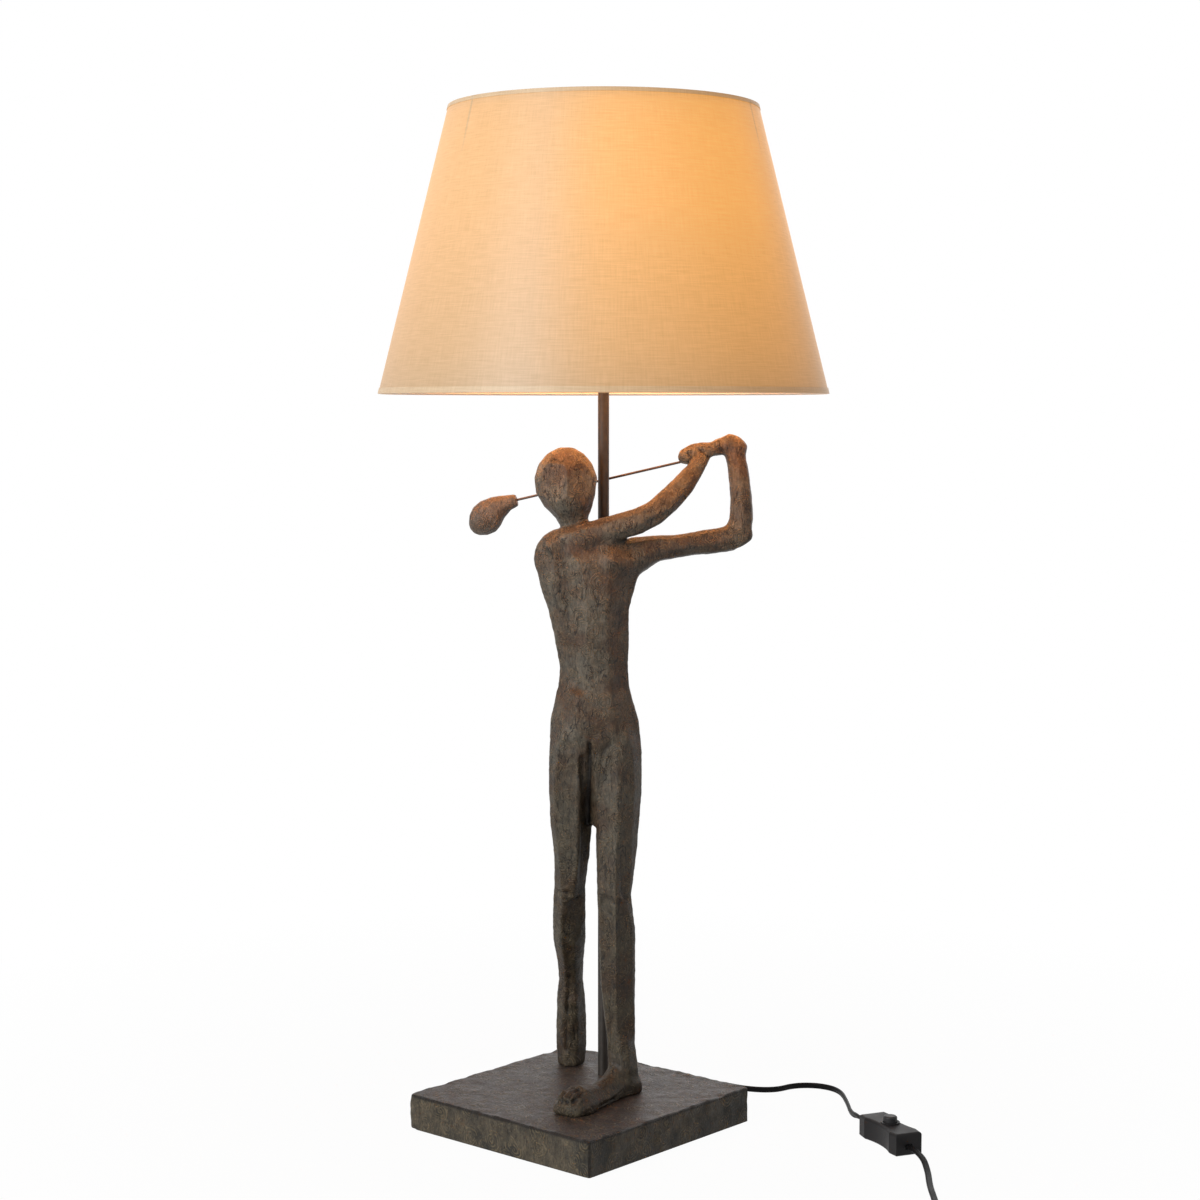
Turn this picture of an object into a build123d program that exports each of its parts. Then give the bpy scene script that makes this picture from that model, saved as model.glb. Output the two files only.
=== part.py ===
from build123d import *
import os
from math import atan2, cos, degrees, pi, radians, sin, sqrt, tan

# Figural table lamp: a cast golfer in his follow-through stands on a rough square plinth,
# in front of a steel rod that carries an E27 lampholder and a tapered linen shade.
# Millimetres. The origin is on the floor, on the axis of the rod and the shade, with Z up.
# -Y is square to the plinth side that the front foot points at.

# ---- Plinth -------------------------------------------------------------------------------
PLINTH_SIDE = 213.5
PLINTH_HEIGHT = 30.4
PLINTH_X = 18.6  # centre of the plinth from the rod
PLINTH_Y = -53.9
PLINTH_CORNER = 2.0
WORN_CORNER = 5.0  # the corner at -X -Y is rounded more than the others
PLINTH_EDGE = 1.6
FELT_THICKNESS = 1.5
FELT_INSET = 3.0
NUT_RECESS_RADIUS = 17.0
NUT_RECESS_DEPTH = 18.0
CHANNEL_WIDTH = 9.0
CHANNEL_HEIGHT = 8.0

# ---- Rod ----------------------------------------------------------------------------------
ROD_RADIUS = 5.0
ROD_WALL = 1.0
ROD_HOLE_CLEARANCE = 0.2
ROD_TAIL = 9.0  # rod below the floor of the nut recess
WASHER_RADIUS = 14.0
WASHER_THICKNESS = 1.5
NUT_ACROSS_FLATS = 17.0
NUT_HEIGHT = 6.0

# ---- Figure -------------------------------------------------------------------------------
FACING = 41.3  # degrees from -Y towards +X in which the chest faces
RING_FULLNESS = 2.4  # 2 is an ellipse, more is squarer
SCREW_RADIUS = 2.5
SCREW_HEAD_RADIUS = 4.6
SCREW_HEAD_HEIGHT = 3.4
SCREW_RECESS = 12.0
SCREW_GRIP = 18.0  # length of screw inside the casting
SCREW_CLEARANCE = 0.3
SOCKET_DEPTH = 2.4  # of the hexagon in a screw's head

# ---- Club ---------------------------------------------------------------------------------
SHAFT_RADIUS = 1.1
SHAFT_FIT = 0.1
GRIP_DEPTH = 20.0
HOSEL_DEPTH = 12.0

# ---- Lampholder, bulb ---------------------------------------------------------------------
SEAT_HEIGHT = 764.0  # underside of the shade's fitting ring above the floor
HOLDER_RADIUS = 19.6
HOLDER_WALL = 1.8
HOLDER_BELOW_SEAT = 27.0
HOLDER_ABOVE_SEAT = 19.0
CAP_HEIGHT = 25.0
CAP_WALL = 2.0
NECK_RADIUS = 8.0
NECK_HEIGHT = 9.0
CROWN_ROUND = (0.72, 0.30)  # how far out and up the middle of the cap's crown lies
VAULT_ROUND = (0.60, 0.45)  # the same for its inside
SLEEVE_CHAMFER = 0.8
THREAD_ENGAGEMENT = 8.0
CORE_HEIGHT = 13.0
CORE_SLOT_DEPTH = 2.0
CORE_SLOT_MARGIN = 2.0  # from each end of the slot to the screw shell
WIRE_HOLE_RADIUS = 2.0
WIRE_HOLE_SPACING = 14.0
SHELL_RADIUS = 13.9  # inside of the lampholder's screw shell
SHELL_WALL = 0.4
SHELL_HEIGHT = 24.0
CONTACT_WIDTH = 5.0
CONTACT_THICKNESS = 0.6
CONTACT_CLEARANCE = 0.5  # each side of the contact in its slot
CONTACT_FOOT = -8.0  # end of the contact that is held in the core
CONTACT_BEND = -2.5
CONTACT_CREST = 3.0
CONTACT_TIP = 6.0
CONTACT_TIP_HEIGHT = 1.0
RING_NUT_RADIUS = 27.5
RING_NUT_HEIGHT = 5.0
RING_NUT_NOTCHES = 18
NOTCH_RADIUS = 1.6
NOTCH_OUT = 0.6  # of the nut's rim, to the centre of a notch
RUNNING_GAP = 0.3  # between pieces that turn against each other
BULB_CAP_RADIUS = 13.2
BULB_CAP_HEIGHT = 24.0
BULB_TIP_HEIGHT = 2.5
BULB_TIP_RADIUS = 3.5
BULB_SEAT_RADIUS = 9.5
BULB_CAP_CHAMFER = 2.5
BULB_LENGTH = 108.0
BULB_RADIUS = 30.0
BULB_COLLAR_HEIGHT = 29.0
COLLAR_LEDGE = 0.6  # the collar stands this far outside the cap
COLLAR_FLARE = 3.0  # and this far at its middle ring
COLLAR_MIDDLE = 0.35  # share of the collar's height
GLOBE_WALL = 1.2
BULB_LIFT = 3.0  # bulb tip above the lampholder's core

# ---- Shade --------------------------------------------------------------------------------
SHADE_BOTTOM_RADIUS = 200.0
SHADE_TOP_RADIUS = 137.1
SHADE_BOTTOM = 648.1
SHADE_HEIGHT = 251.2
CLOTH_WALL = 1.2
HEM_WALL = 0.6
TOP_HEM = 3.4
BOTTOM_HEM = 5.0
HEM_TURN_IN = 7.0
WIRE_RADIUS = 1.5
WIRE_GAP = 0.1  # between a wire and the hem
ARM_BEND_GAP = 1.0  # the same at an arm's bend
ARM_BEND_RADIUS = 9.0
ARM_FOOT_IN = 1.2  # end of an arm inside the fitting's rim
ARM_FOOT_SINK = 0.4  # an arm's centre below the fitting's upper side
ARM_COUNT = 3
ARM_ANGLE = 17.3
ARM_RUN_DOWN = 32.0  # stretch of each arm that follows the cloth
FITTING_HOLE_RADIUS = 20.4
FITTING_WIDTH = 12.5
FITTING_THICKNESS = 2.0

# ---- Cord, switch, plug -------------------------------------------------------------------
CORD_WIDTH = 5.4
CORD_THICKNESS = 3.2
CORD_EDGE = 0.9  # how far the rounded edges reach in
TURN_GAP = 0.5  # between turns of the coil
LAYER_GAP = 0.6
LEAD_BEND = 8.0
RELIEF_LENGTH = 24.0
RELIEF_WIDTH = 8.4
RELIEF_DEPTH = 7.0
RELIEF_WALL = 0.9  # round the cord at the tip
RELIEF_FLANGE = 1.5
RELIEF_FLANGE_RIM = 0.8
RELIEF_EDGE = 1.5
RELIEF_INSIDE = 9.0
RELIEF_FIT = 0.15
CHANNEL_FIT = 0.1
SWITCH_LENGTH = 66.0
SWITCH_WIDTH = 27.0
SWITCH_WAIST = 20.0
SWITCH_END_TAPER = 1.2  # each side, from the broadest place to the end face
SWITCH_HEIGHT = 19.0
SWITCH_SPLIT = 7.5  # the cord comes in at the split
SWITCH_WALL = 2.0
SWITCH_EDGE = 2.4
SWITCH_FOOT_EDGE = 1.0
ENTRY_DEPTH = 1.2  # recess in each end face, with the cord in it
ENTRY_GAP = 0.7
SWITCH_X = 256.5
SWITCH_Y = 83.7
SWITCH_HEADING = -26.7  # degrees from +X of the switch's length, along the cord
SWITCH_RUN = 23.0  # the cord comes straight out of the switch as far as this
BOSS_SPOT = (22.0, 7.0)
BOSS_RADIUS = 4.0
SWITCH_SCREW_RADIUS = 1.4
SWITCH_SCREW_HEAD = 2.6
SWITCH_SCREW_HEAD_HEIGHT = 1.6
SWITCH_SCREW_GRIP = 7.0
SWITCH_SCREW_CLEARANCE = 0.2
BUTTON_RADIUS = 6.0
BUTTON_TRAVEL = 2.5
BUTTON_SHOWN = 2.8  # above its collar when it is pressed
BUTTON_FLANGE = 1.4
BUTTON_LIP = 1.5
BEZEL_WIDTH = 2.0
BEZEL_RISE = 1.2
BUTTON_EDGE = 1.8
COIL_SIDE = 224.3  # centre of the coil, in the figure's own directions
COIL_FRONT = 322.0
COIL_INNER_RADIUS = 22.0
COIL_HALF_TURNS = 6  # in the lower layer
COIL_RUN = 29.0  # the cord comes straight at the coil from here
PLUG_WIDTH = 35.0
PLUG_THICKNESS = 13.7
PLUG_LENGTH = 34.0
PLUG_SHOULDER = 16.0
PLUG_NECK = 15.0
PLUG_EDGE = 2.5
PLUG_RELIEF = 18.0
PLUG_RELIEF_WIDTH = 11.0
PLUG_RELIEF_DEPTH = 9.0
PIN_RADIUS = 2.0
PIN_LENGTH = 19.0
PIN_SPACING = 18.6
PIN_ROOT = 6.0
PIN_NOSE = 1.5

# ---- Worked out from the sizes above ------------------------------------------------------
PLINTH_TOP = FELT_THICKNESS + PLINTH_HEIGHT
PLINTH_BACK = PLINTH_Y + PLINTH_SIDE / 2
RECESS_ROOF = FELT_THICKNESS + NUT_RECESS_DEPTH
ROD_BOTTOM = RECESS_ROOF - ROD_TAIL
ROD_BORE = ROD_RADIUS - ROD_WALL
SHADE_TOP = SHADE_BOTTOM + SHADE_HEIGHT
SHADE_SLOPE = (SHADE_BOTTOM_RADIUS - SHADE_TOP_RADIUS) / SHADE_HEIGHT
HOLDER_BOTTOM = SEAT_HEIGHT - HOLDER_BELOW_SEAT
HOLDER_TOP = SEAT_HEIGHT + HOLDER_ABOVE_SEAT
CAP_BOTTOM = HOLDER_BOTTOM - CAP_HEIGHT
ROD_TOP = CAP_BOTTOM + THREAD_ENGAGEMENT
CORE_TOP = HOLDER_BOTTOM + CORE_HEIGHT
BULB_BOTTOM = CORE_TOP + BULB_LIFT
RELIEF_HEIGHT = FELT_THICKNESS + CHANNEL_HEIGHT / 2
RELIEF_END = PLINTH_BACK + RELIEF_LENGTH
CORD_FLOOR = CORD_THICKNESS / 2
CORD_PITCH = CORD_WIDTH + TURN_GAP
PLUG_ENTRY = PLUG_THICKNESS / 2

SIDE = Vector(cos(radians(FACING)), sin(radians(FACING)), 0)  # to the figure's left
FRONT = Vector(sin(radians(FACING)), -cos(radians(FACING)), 0)
UP = Vector(0, 0, 1)

os.makedirs("parts", exist_ok=True)


def finish(part, label):
    part.label = label
    export_step(part, f"parts/{label}.step")


def at(side, front, height):
    """A point of the figure: to its left, towards its front, above the floor."""
    return SIDE * side + FRONT * front + UP * height


def cone_radius(height):
    """Outside radius of the shade at a height above the floor."""
    return SHADE_BOTTOM_RADIUS - SHADE_SLOPE * (height - SHADE_BOTTOM)


def ring_corners(half_width, half_depth, turns):
    """Corners of a ring with unequal flats, such as a modeller's rasp leaves round a limb."""
    corners = []
    for turn in turns:
        c, s = cos(radians(turn)), sin(radians(turn))
        across = half_width * abs(c) ** (2 / RING_FULLNESS) * (1 if c > 0 else -1)
        deep = half_depth * abs(s) ** (2 / RING_FULLNESS) * (1 if s > 0 else -1)
        corners.append((across, deep))
    return corners


def foot_corners(half_width, height):
    """Corners of a section across a foot, with a flat sole."""
    return [(-half_width, 0), (half_width, 0), (half_width, 0.4 * height),
            (0.55 * half_width, 0.85 * height), (0, height), (-0.55 * half_width, 0.85 * height),
            (-half_width, 0.4 * height)]


def ring_planes(stations, level):
    """A plane for each station of a limb, square to the limb's line, or level."""
    centres = [at(*station[:3]) for station in stations]
    last = len(stations) - 1
    planes = []
    for i, centre in enumerate(centres):
        along = UP if level else (centres[min(i + 1, last)] - centres[max(i - 1, 0)]).normalized()
        depth = (FRONT - along * FRONT.dot(along)).normalized()
        planes.append(Plane(centre, x_dir=depth.cross(along), z_dir=along))
    return planes


# ---- Plinth and what is under it ----------------------------------------------------------
# Feet of the figure, where its screws come up: (side, front)
FRONT_HEEL = (18.0, 58.0)
REAR_TOES = (-29.7, -37.0)
SCREW_SPOTS = [at(*FRONT_HEEL, 0), at(*REAR_TOES, 0)]

with BuildPart() as plinth:
    with BuildSketch(Plane.XY.offset(FELT_THICKNESS)):
        with Locations((PLINTH_X, PLINTH_Y)):
            Rectangle(PLINTH_SIDE, PLINTH_SIDE)
    extrude(amount=PLINTH_HEIGHT)
    posts = plinth.edges().filter_by(Axis.Z)
    worn = posts.sort_by(lambda e: e.center().X + e.center().Y)[0]
    fillet([e for e in posts if e != worn], radius=PLINTH_CORNER)
    fillet(plinth.edges().filter_by(Axis.Z).sort_by(lambda e: e.center().X + e.center().Y)[0],
           radius=WORN_CORNER)
    fillet(plinth.faces().sort_by(Axis.Z)[-1].edges(), radius=PLINTH_EDGE)
    with BuildSketch(Plane.XY.offset(FELT_THICKNESS)):
        Circle(NUT_RECESS_RADIUS)
    extrude(amount=NUT_RECESS_DEPTH, mode=Mode.SUBTRACT)
    with BuildSketch(Plane.XY.offset(FELT_THICKNESS)):
        with Locations((0, PLINTH_BACK / 2)):
            Rectangle(CHANNEL_WIDTH, PLINTH_BACK)
    extrude(amount=CHANNEL_HEIGHT, mode=Mode.SUBTRACT)
    with BuildSketch(Plane.XY):
        Circle(ROD_RADIUS + ROD_HOLE_CLEARANCE)
    extrude(amount=PLINTH_TOP, mode=Mode.SUBTRACT)
    for spot in SCREW_SPOTS:
        with BuildSketch(Plane.XY):
            with Locations((spot.X, spot.Y)):
                Circle(SCREW_RADIUS + SCREW_CLEARANCE)
        extrude(amount=PLINTH_TOP, mode=Mode.SUBTRACT)
        with BuildSketch(Plane.XY):
            with Locations((spot.X, spot.Y)):
                Circle(SCREW_HEAD_RADIUS + SCREW_CLEARANCE)
        extrude(amount=FELT_THICKNESS + SCREW_RECESS, mode=Mode.SUBTRACT)
finish(plinth.part, "plinth")

with BuildPart() as felt:
    with BuildSketch():
        with Locations((PLINTH_X, PLINTH_Y)):
            RectangleRounded(PLINTH_SIDE - 2 * FELT_INSET, PLINTH_SIDE - 2 * FELT_INSET,
                             WORN_CORNER)
    extrude(amount=FELT_THICKNESS)
finish(felt.part, "plinth_felt")

with BuildPart() as rod:
    with BuildSketch(Plane.XY.offset(ROD_BOTTOM)):
        Circle(ROD_RADIUS)
        Circle(ROD_BORE, mode=Mode.SUBTRACT)
    extrude(amount=ROD_TOP - ROD_BOTTOM)
finish(rod.part, "support_rod")

with BuildPart() as washer:
    with BuildSketch(Plane.XY.offset(RECESS_ROOF - WASHER_THICKNESS)):
        Circle(WASHER_RADIUS)
        Circle(ROD_RADIUS, mode=Mode.SUBTRACT)
    extrude(amount=WASHER_THICKNESS)
finish(washer.part, "rod_washer")

with BuildPart() as nut:
    with BuildSketch(Plane.XY.offset(RECESS_ROOF - WASHER_THICKNESS - NUT_HEIGHT)):
        RegularPolygon(NUT_ACROSS_FLATS / 2, 6, major_radius=False)
        Circle(ROD_RADIUS, mode=Mode.SUBTRACT)
    extrude(amount=NUT_HEIGHT)
finish(nut.part, "rod_nut")

with BuildPart() as figure_screws:
    for spot in SCREW_SPOTS:
        head_seat = FELT_THICKNESS + SCREW_RECESS
        with BuildSketch(Plane.XY.offset(head_seat - SCREW_HEAD_HEIGHT)):
            with Locations((spot.X, spot.Y)):
                Circle(SCREW_HEAD_RADIUS)
                RegularPolygon(SCREW_RADIUS, 6, mode=Mode.SUBTRACT)
        extrude(amount=SOCKET_DEPTH)
        with BuildSketch(Plane.XY.offset(head_seat - SCREW_HEAD_HEIGHT + SOCKET_DEPTH)):
            with Locations((spot.X, spot.Y)):
                Circle(SCREW_HEAD_RADIUS)
        extrude(amount=SCREW_HEAD_HEIGHT - SOCKET_DEPTH)
        with BuildSketch(Plane.XY.offset(head_seat)):
            with Locations((spot.X, spot.Y)):
                Circle(SCREW_RADIUS)
        extrude(amount=PLINTH_TOP + SCREW_GRIP - head_seat)
finish(figure_screws.part, "figure_screws")

# ---- The golfer ---------------------------------------------------------------------------
# side, front, height, half width, half depth
TORSO = [
    (-8.6, 40, 268, 3.5, 11),
    (-8.3, 40, 300, 7, 16),
    (-7.8, 39, 320, 18, 19.5),
    (-7.5, 37, 333, 35.5, 23.5),
    (-7.5, 36, 347, 40.8, 27.8),
    (-7.9, 36, 361, 40.5, 28.3),
    (-8.4, 35.5, 377, 36, 26),
    (-8.5, 35, 391, 32, 23.5),
    (-8.3, 34.5, 408, 30.6, 22.8),
    (-10, 35, 432, 33.4, 25),
    (-13, 35.5, 459, 36.2, 27.5),
    (-13.8, 36, 482, 43.2, 28.5),
    (-12.4, 36, 502, 50, 26.5),
    (-13.4, 35, 517, 45, 21),
    (-20, 34, 528, 24, 14),
]
HEAD = [
    (-24, 34, 512, 13, 12),
    (-25, 34, 531, 11.5, 11.5),
    (-28, 34.5, 540, 15, 15),
    (-31, 35, 549, 21.5, 20.5),
    (-33, 35, 561, 26.7, 25.5),
    (-33, 35, 575, 28.2, 27.5),
    (-33, 34.5, 587, 24, 24),
    (-33, 34, 596, 16, 16.5),
    (-33, 34, 601, 6.5, 7),
]
REAR_LEG = [
    (-26.5, 36, 368, 15, 19),
    (-27.6, 36, 349, 19.8, 25),
    (-28.2, 36, 333, 20.6, 26),
    (-28.5, 35, 300, 20.6, 24.5),
    (-28.6, 31, 270, 19, 22.5),
    (-28.5, 25, 238, 16.2, 19.5),
    (-30.2, 19, 211, 14.2, 17),
    (-30.8, 9, 184, 15.4, 17),
    (-31, -3, 158, 15.4, 17),
    (-30, -17, 132, 12.4, 14.5),
    (-29.6, -27, 114, 11.5, 14),
    (-29.8, -32, 96, 13.4, 16.5),
    (-29.5, -35, 74, 14.3, 15),
    (-29.6, -36.5, 48, 14.3, 14),
    (-29.7, -37, PLINTH_TOP, 12.5, 16),
]
FRONT_LEG = [
    (11.5, 36, 368, 15, 19),
    (12.8, 36, 349, 20, 25),
    (13, 36.5, 333, 21.2, 26.5),
    (13, 38, 300, 21.2, 26),
    (12.3, 41, 268, 19.4, 23),
    (11, 46, 237, 17.6, 21),
    (9.3, 51, 207, 15.3, 18.5),
    (11.6, 51, 178, 16.7, 19),
    (12.1, 51, 150, 16.3, 18.5),
    (12.8, 52, 122, 15.4, 16.5),
    (14.6, 54, 94, 13.7, 14.5),
    (15.7, 56, 74, 12.6, 14),
    (17, 58, 56, 13.4, 15),
    (19, 58, PLINTH_TOP, 13, 14),
]
# along the foot from the heel, half width, height of the instep
FOOT = [(-16, 7, 12), (-11, 12, 21), (-2, 14, 27), (8, 13.5, 34), (24, 13, 28), (44, 13.5, 22),
        (62, 14.5, 19), (74, 15, 18), (84, 14.5, 16.5), (92, 11, 12), (95, 6, 7)]
FOOT_HEADING = 135.0  # degrees from the figure's left towards its front
REACHING_ARM = [
    (-40, 37, 508, 20, 20.5),
    (-26, 42, 519, 15.5, 16),
    (-9, 46, 524.5, 13.4, 13.5),
    (8, 47, 530.5, 12, 12),
    (30, 46, 537, 11.9, 11.5),
    (44, 42, 543.5, 11.6, 11.5),
    (57, 35, 554.5, 11.4, 11),
    (70, 26, 567.5, 10.4, 10.5),
    (80, 18, 580, 8.4, 9),
    (88, 11, 593, 7, 8),
    (92, 8, 599, 5.5, 6.5),
]
RAISED_ARM = [
    (8, 34, 496, 20, 20),
    (30, 33, 507, 16.5, 17),
    (47, 31, 512.5, 12.2, 13),
    (64, 29, 514, 10.7, 11.5),
    (84, 26, 517, 10.8, 11),
    (100, 23.5, 518.5, 11.4, 11),
    (111, 22, 520.5, 12, 11.5),
    (119, 20.5, 526.5, 12.4, 11.5),
    (121.8, 19.5, 538, 11, 11),
    (121.5, 18, 556, 10, 10.5),
    (120, 15.5, 573, 9.6, 10.5),
    (118, 13, 586, 9.2, 10),
    (116, 11, 597, 10, 10),
    (109.5, 9.5, 603.5, 9.8, 9.5),
    (101, 8.5, 600.5, 7.5, 9),
    (93, 8, 597.5, 5.5, 8),
]
GRIPPING_HAND = [
    (67, 5, 589.2, 3.5, 5),
    (71, 5.5, 591.5, 7.4, 9),
    (80, 6.2, 595, 9, 10.5),
    (90, 7.2, 597.5, 8.2, 10.5),
    (101, 8, 600, 5.5, 8),
]
# The club's line: from inside the hands, behind the rod and the head, to the club's head
SHAFT_MOUTH = at(67, 4.4, 587.2)
HOSEL_MOUTH = at(-78, -24, 552.8)
SHAFT_LINE = (HOSEL_MOUTH - SHAFT_MOUTH).normalized()
SHAFT_START = SHAFT_MOUTH - SHAFT_LINE * GRIP_DEPTH
SHAFT_END = HOSEL_MOUTH + SHAFT_LINE * HOSEL_DEPTH


# Each limb, whether its rings lie level, and where its flats meet, in degrees round a ring
# from the figure's right, or from the top of an arm, towards its front
GOLFER_LIMBS = [
    (TORSO, True, (8, 68, 112, 168, 210, 250, 290, 330)),
    (HEAD, True, (10, 52, 88, 126, 165, 205, 248, 290, 330)),
    (REAR_LEG, True, (12, 67, 107, 172, 222, 270, 318)),
    (FRONT_LEG, True, (30, 88, 113, 172, 215, 260, 305, 350)),
    (REACHING_ARM, False, (12, 58, 100, 150, 192, 238, 280, 325)),
    (RAISED_ARM, False, (8, 50, 95, 142, 185, 232, 278, 322)),
    (GRIPPING_HAND, False, (15, 60, 105, 150, 195, 240, 285, 330)),
]
TOEWARDS = SIDE * cos(radians(FOOT_HEADING)) + FRONT * sin(radians(FOOT_HEADING))

with BuildPart() as golfer:
    for stations, level, corners in GOLFER_LIMBS:
        for station, plane in zip(stations, ring_planes(stations, level)):
            with BuildSketch(plane):
                Polygon(*ring_corners(*station[3:], corners), align=None)
        loft(ruled=True)
    for along, half_width, height in FOOT:
        ball = at(*FRONT_HEEL, PLINTH_TOP) + TOEWARDS * along
        with BuildSketch(Plane(ball, x_dir=UP.cross(TOEWARDS), z_dir=TOEWARDS)):
            Polygon(*foot_corners(half_width, height), align=None)
    loft(ruled=True)
    with BuildSketch(Plane(SHAFT_MOUTH + SHAFT_LINE * GRIP_DEPTH, z_dir=SHAFT_LINE * -1)):
        Circle(SHAFT_RADIUS + SHAFT_FIT)
    extrude(amount=2 * GRIP_DEPTH + 1, mode=Mode.SUBTRACT)
    for spot in SCREW_SPOTS:
        with BuildSketch(Plane.XY):
            with Locations((spot.X, spot.Y)):
                Circle(SCREW_RADIUS + SHAFT_FIT)
        extrude(amount=PLINTH_TOP + SCREW_GRIP + 2, mode=Mode.SUBTRACT)
finish(golfer.part, "golfer_casting")

with BuildPart() as shaft:
    with BuildSketch(Plane(SHAFT_START, z_dir=SHAFT_LINE)):
        Circle(SHAFT_RADIUS)
    extrude(amount=(SHAFT_END - SHAFT_START).length)
finish(shaft.part, "club_shaft")

CLUB_HEAD = [
    (-78, -24, 552.6, 5.6, 5.6),
    (-86, -25, 550.3, 7.2, 6.8),
    (-95, -26, 546, 11.3, 9.5),
    (-102, -27, 540.5, 14.6, 11.8),
    (-107.5, -27.5, 535, 15.2, 12.4),
    (-113, -28, 529.7, 12.3, 10.2),
    (-117, -28, 525.8, 7, 6),
    (-118.4, -28, 524.4, 3, 2.6),
]
CLUB_HEAD_CORNERS = (10, 45, 80, 118, 155, 190, 225, 262, 300, 335)
with BuildPart() as club_head:
    for station, plane in zip(CLUB_HEAD, ring_planes(CLUB_HEAD, False)):
        with BuildSketch(plane):
            Polygon(*ring_corners(*station[3:], CLUB_HEAD_CORNERS), align=None)
    loft(ruled=True)
    with BuildSketch(Plane(HOSEL_MOUTH - SHAFT_LINE * 4, z_dir=SHAFT_LINE)):
        Circle(SHAFT_RADIUS + SHAFT_FIT)
    extrude(amount=HOSEL_DEPTH + 4, mode=Mode.SUBTRACT)
finish(club_head.part, "club_head")

# ---- Lampholder ---------------------------------------------------------------------------
with BuildPart() as holder_cap:
    with BuildSketch(Plane.XZ):
        with BuildLine():
            neck = Line((ROD_RADIUS, CAP_BOTTOM), (NECK_RADIUS, CAP_BOTTOM))
            side = Line(neck @ 1, (NECK_RADIUS, CAP_BOTTOM + NECK_HEIGHT))
            crown = ThreePointArc(
                side @ 1,
                (NECK_RADIUS + CROWN_ROUND[0] * (HOLDER_RADIUS - NECK_RADIUS),
                 CAP_BOTTOM + NECK_HEIGHT + CROWN_ROUND[1] * (CAP_HEIGHT - NECK_HEIGHT)),
                (HOLDER_RADIUS, HOLDER_BOTTOM))
            lip = Line(crown @ 1, (HOLDER_RADIUS - CAP_WALL, HOLDER_BOTTOM))
            vault = ThreePointArc(
                lip @ 1,
                (NECK_RADIUS + VAULT_ROUND[0] * (HOLDER_RADIUS - NECK_RADIUS),
                 CAP_BOTTOM + NECK_HEIGHT + VAULT_ROUND[1] * (CAP_HEIGHT - NECK_HEIGHT)),
                (ROD_RADIUS, CAP_BOTTOM + NECK_HEIGHT + CAP_WALL))
            Line(vault @ 1, neck @ 0)
        make_face()
    revolve(axis=Axis.Z)
finish(holder_cap.part, "lampholder_cap")

with BuildPart() as holder_sleeve:
    with BuildSketch(Plane.XY.offset(HOLDER_BOTTOM)):
        Circle(HOLDER_RADIUS)
        Circle(HOLDER_RADIUS - HOLDER_WALL, mode=Mode.SUBTRACT)
    extrude(amount=HOLDER_TOP - HOLDER_BOTTOM)
    chamfer(holder_sleeve.faces().sort_by(Axis.Z)[-1].outer_wire().edges(), SLEEVE_CHAMFER)
finish(holder_sleeve.part, "lampholder_sleeve")

with BuildPart() as holder_core:
    with BuildSketch(Plane.XY.offset(HOLDER_BOTTOM)):
        Circle(HOLDER_RADIUS - HOLDER_WALL)
    extrude(amount=CORE_HEIGHT)
    with BuildSketch(Plane.XY.offset(CORE_TOP - CORE_SLOT_DEPTH)):
        Rectangle(2 * (SHELL_RADIUS - CORE_SLOT_MARGIN), CONTACT_WIDTH + 2 * CONTACT_CLEARANCE)
    extrude(amount=CORE_SLOT_DEPTH, mode=Mode.SUBTRACT)
    with BuildSketch(Plane.XY.offset(HOLDER_BOTTOM)):
        with GridLocations(WIRE_HOLE_SPACING, 0, 2, 1):
            Circle(WIRE_HOLE_RADIUS)
    extrude(amount=CORE_HEIGHT, mode=Mode.SUBTRACT)
finish(holder_core.part, "lampholder_core")

with BuildPart() as screw_shell:
    with BuildSketch(Plane.XY.offset(CORE_TOP)):
        Circle(SHELL_RADIUS + SHELL_WALL)
        Circle(SHELL_RADIUS, mode=Mode.SUBTRACT)
    extrude(amount=SHELL_HEIGHT)
finish(screw_shell.part, "lampholder_screw_shell")

with BuildPart() as centre_contact:
    with BuildSketch(Plane.XZ.offset(-CONTACT_WIDTH / 2)):
        with BuildLine():
            slot_floor = CORE_TOP - CORE_SLOT_DEPTH
            crest = CORE_TOP + BULB_LIFT - RUNNING_GAP - CONTACT_THICKNESS
            Polyline((CONTACT_FOOT, slot_floor), (CONTACT_BEND, slot_floor),
                     (CONTACT_CREST, crest), (CONTACT_TIP, CORE_TOP + CONTACT_TIP_HEIGHT))
            offset(amount=CONTACT_THICKNESS, side=Side.LEFT)
        make_face()
    extrude(amount=CONTACT_WIDTH)
finish(centre_contact.part, "lampholder_contact")


def ring_nut(bottom, label):
    with BuildPart() as ring:
        with BuildSketch(Plane.XY.offset(bottom)):
            Circle(RING_NUT_RADIUS)
            with PolarLocations(RING_NUT_RADIUS + NOTCH_OUT, RING_NUT_NOTCHES):
                Circle(NOTCH_RADIUS, mode=Mode.SUBTRACT)
            Circle(HOLDER_RADIUS + RUNNING_GAP / 4, mode=Mode.SUBTRACT)
        extrude(amount=RING_NUT_HEIGHT)
    finish(ring.part, label)


ring_nut(SEAT_HEIGHT - RUNNING_GAP - RING_NUT_HEIGHT, "lower_ring_nut")
ring_nut(SEAT_HEIGHT + FITTING_THICKNESS + RUNNING_GAP, "upper_ring_nut")

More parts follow.
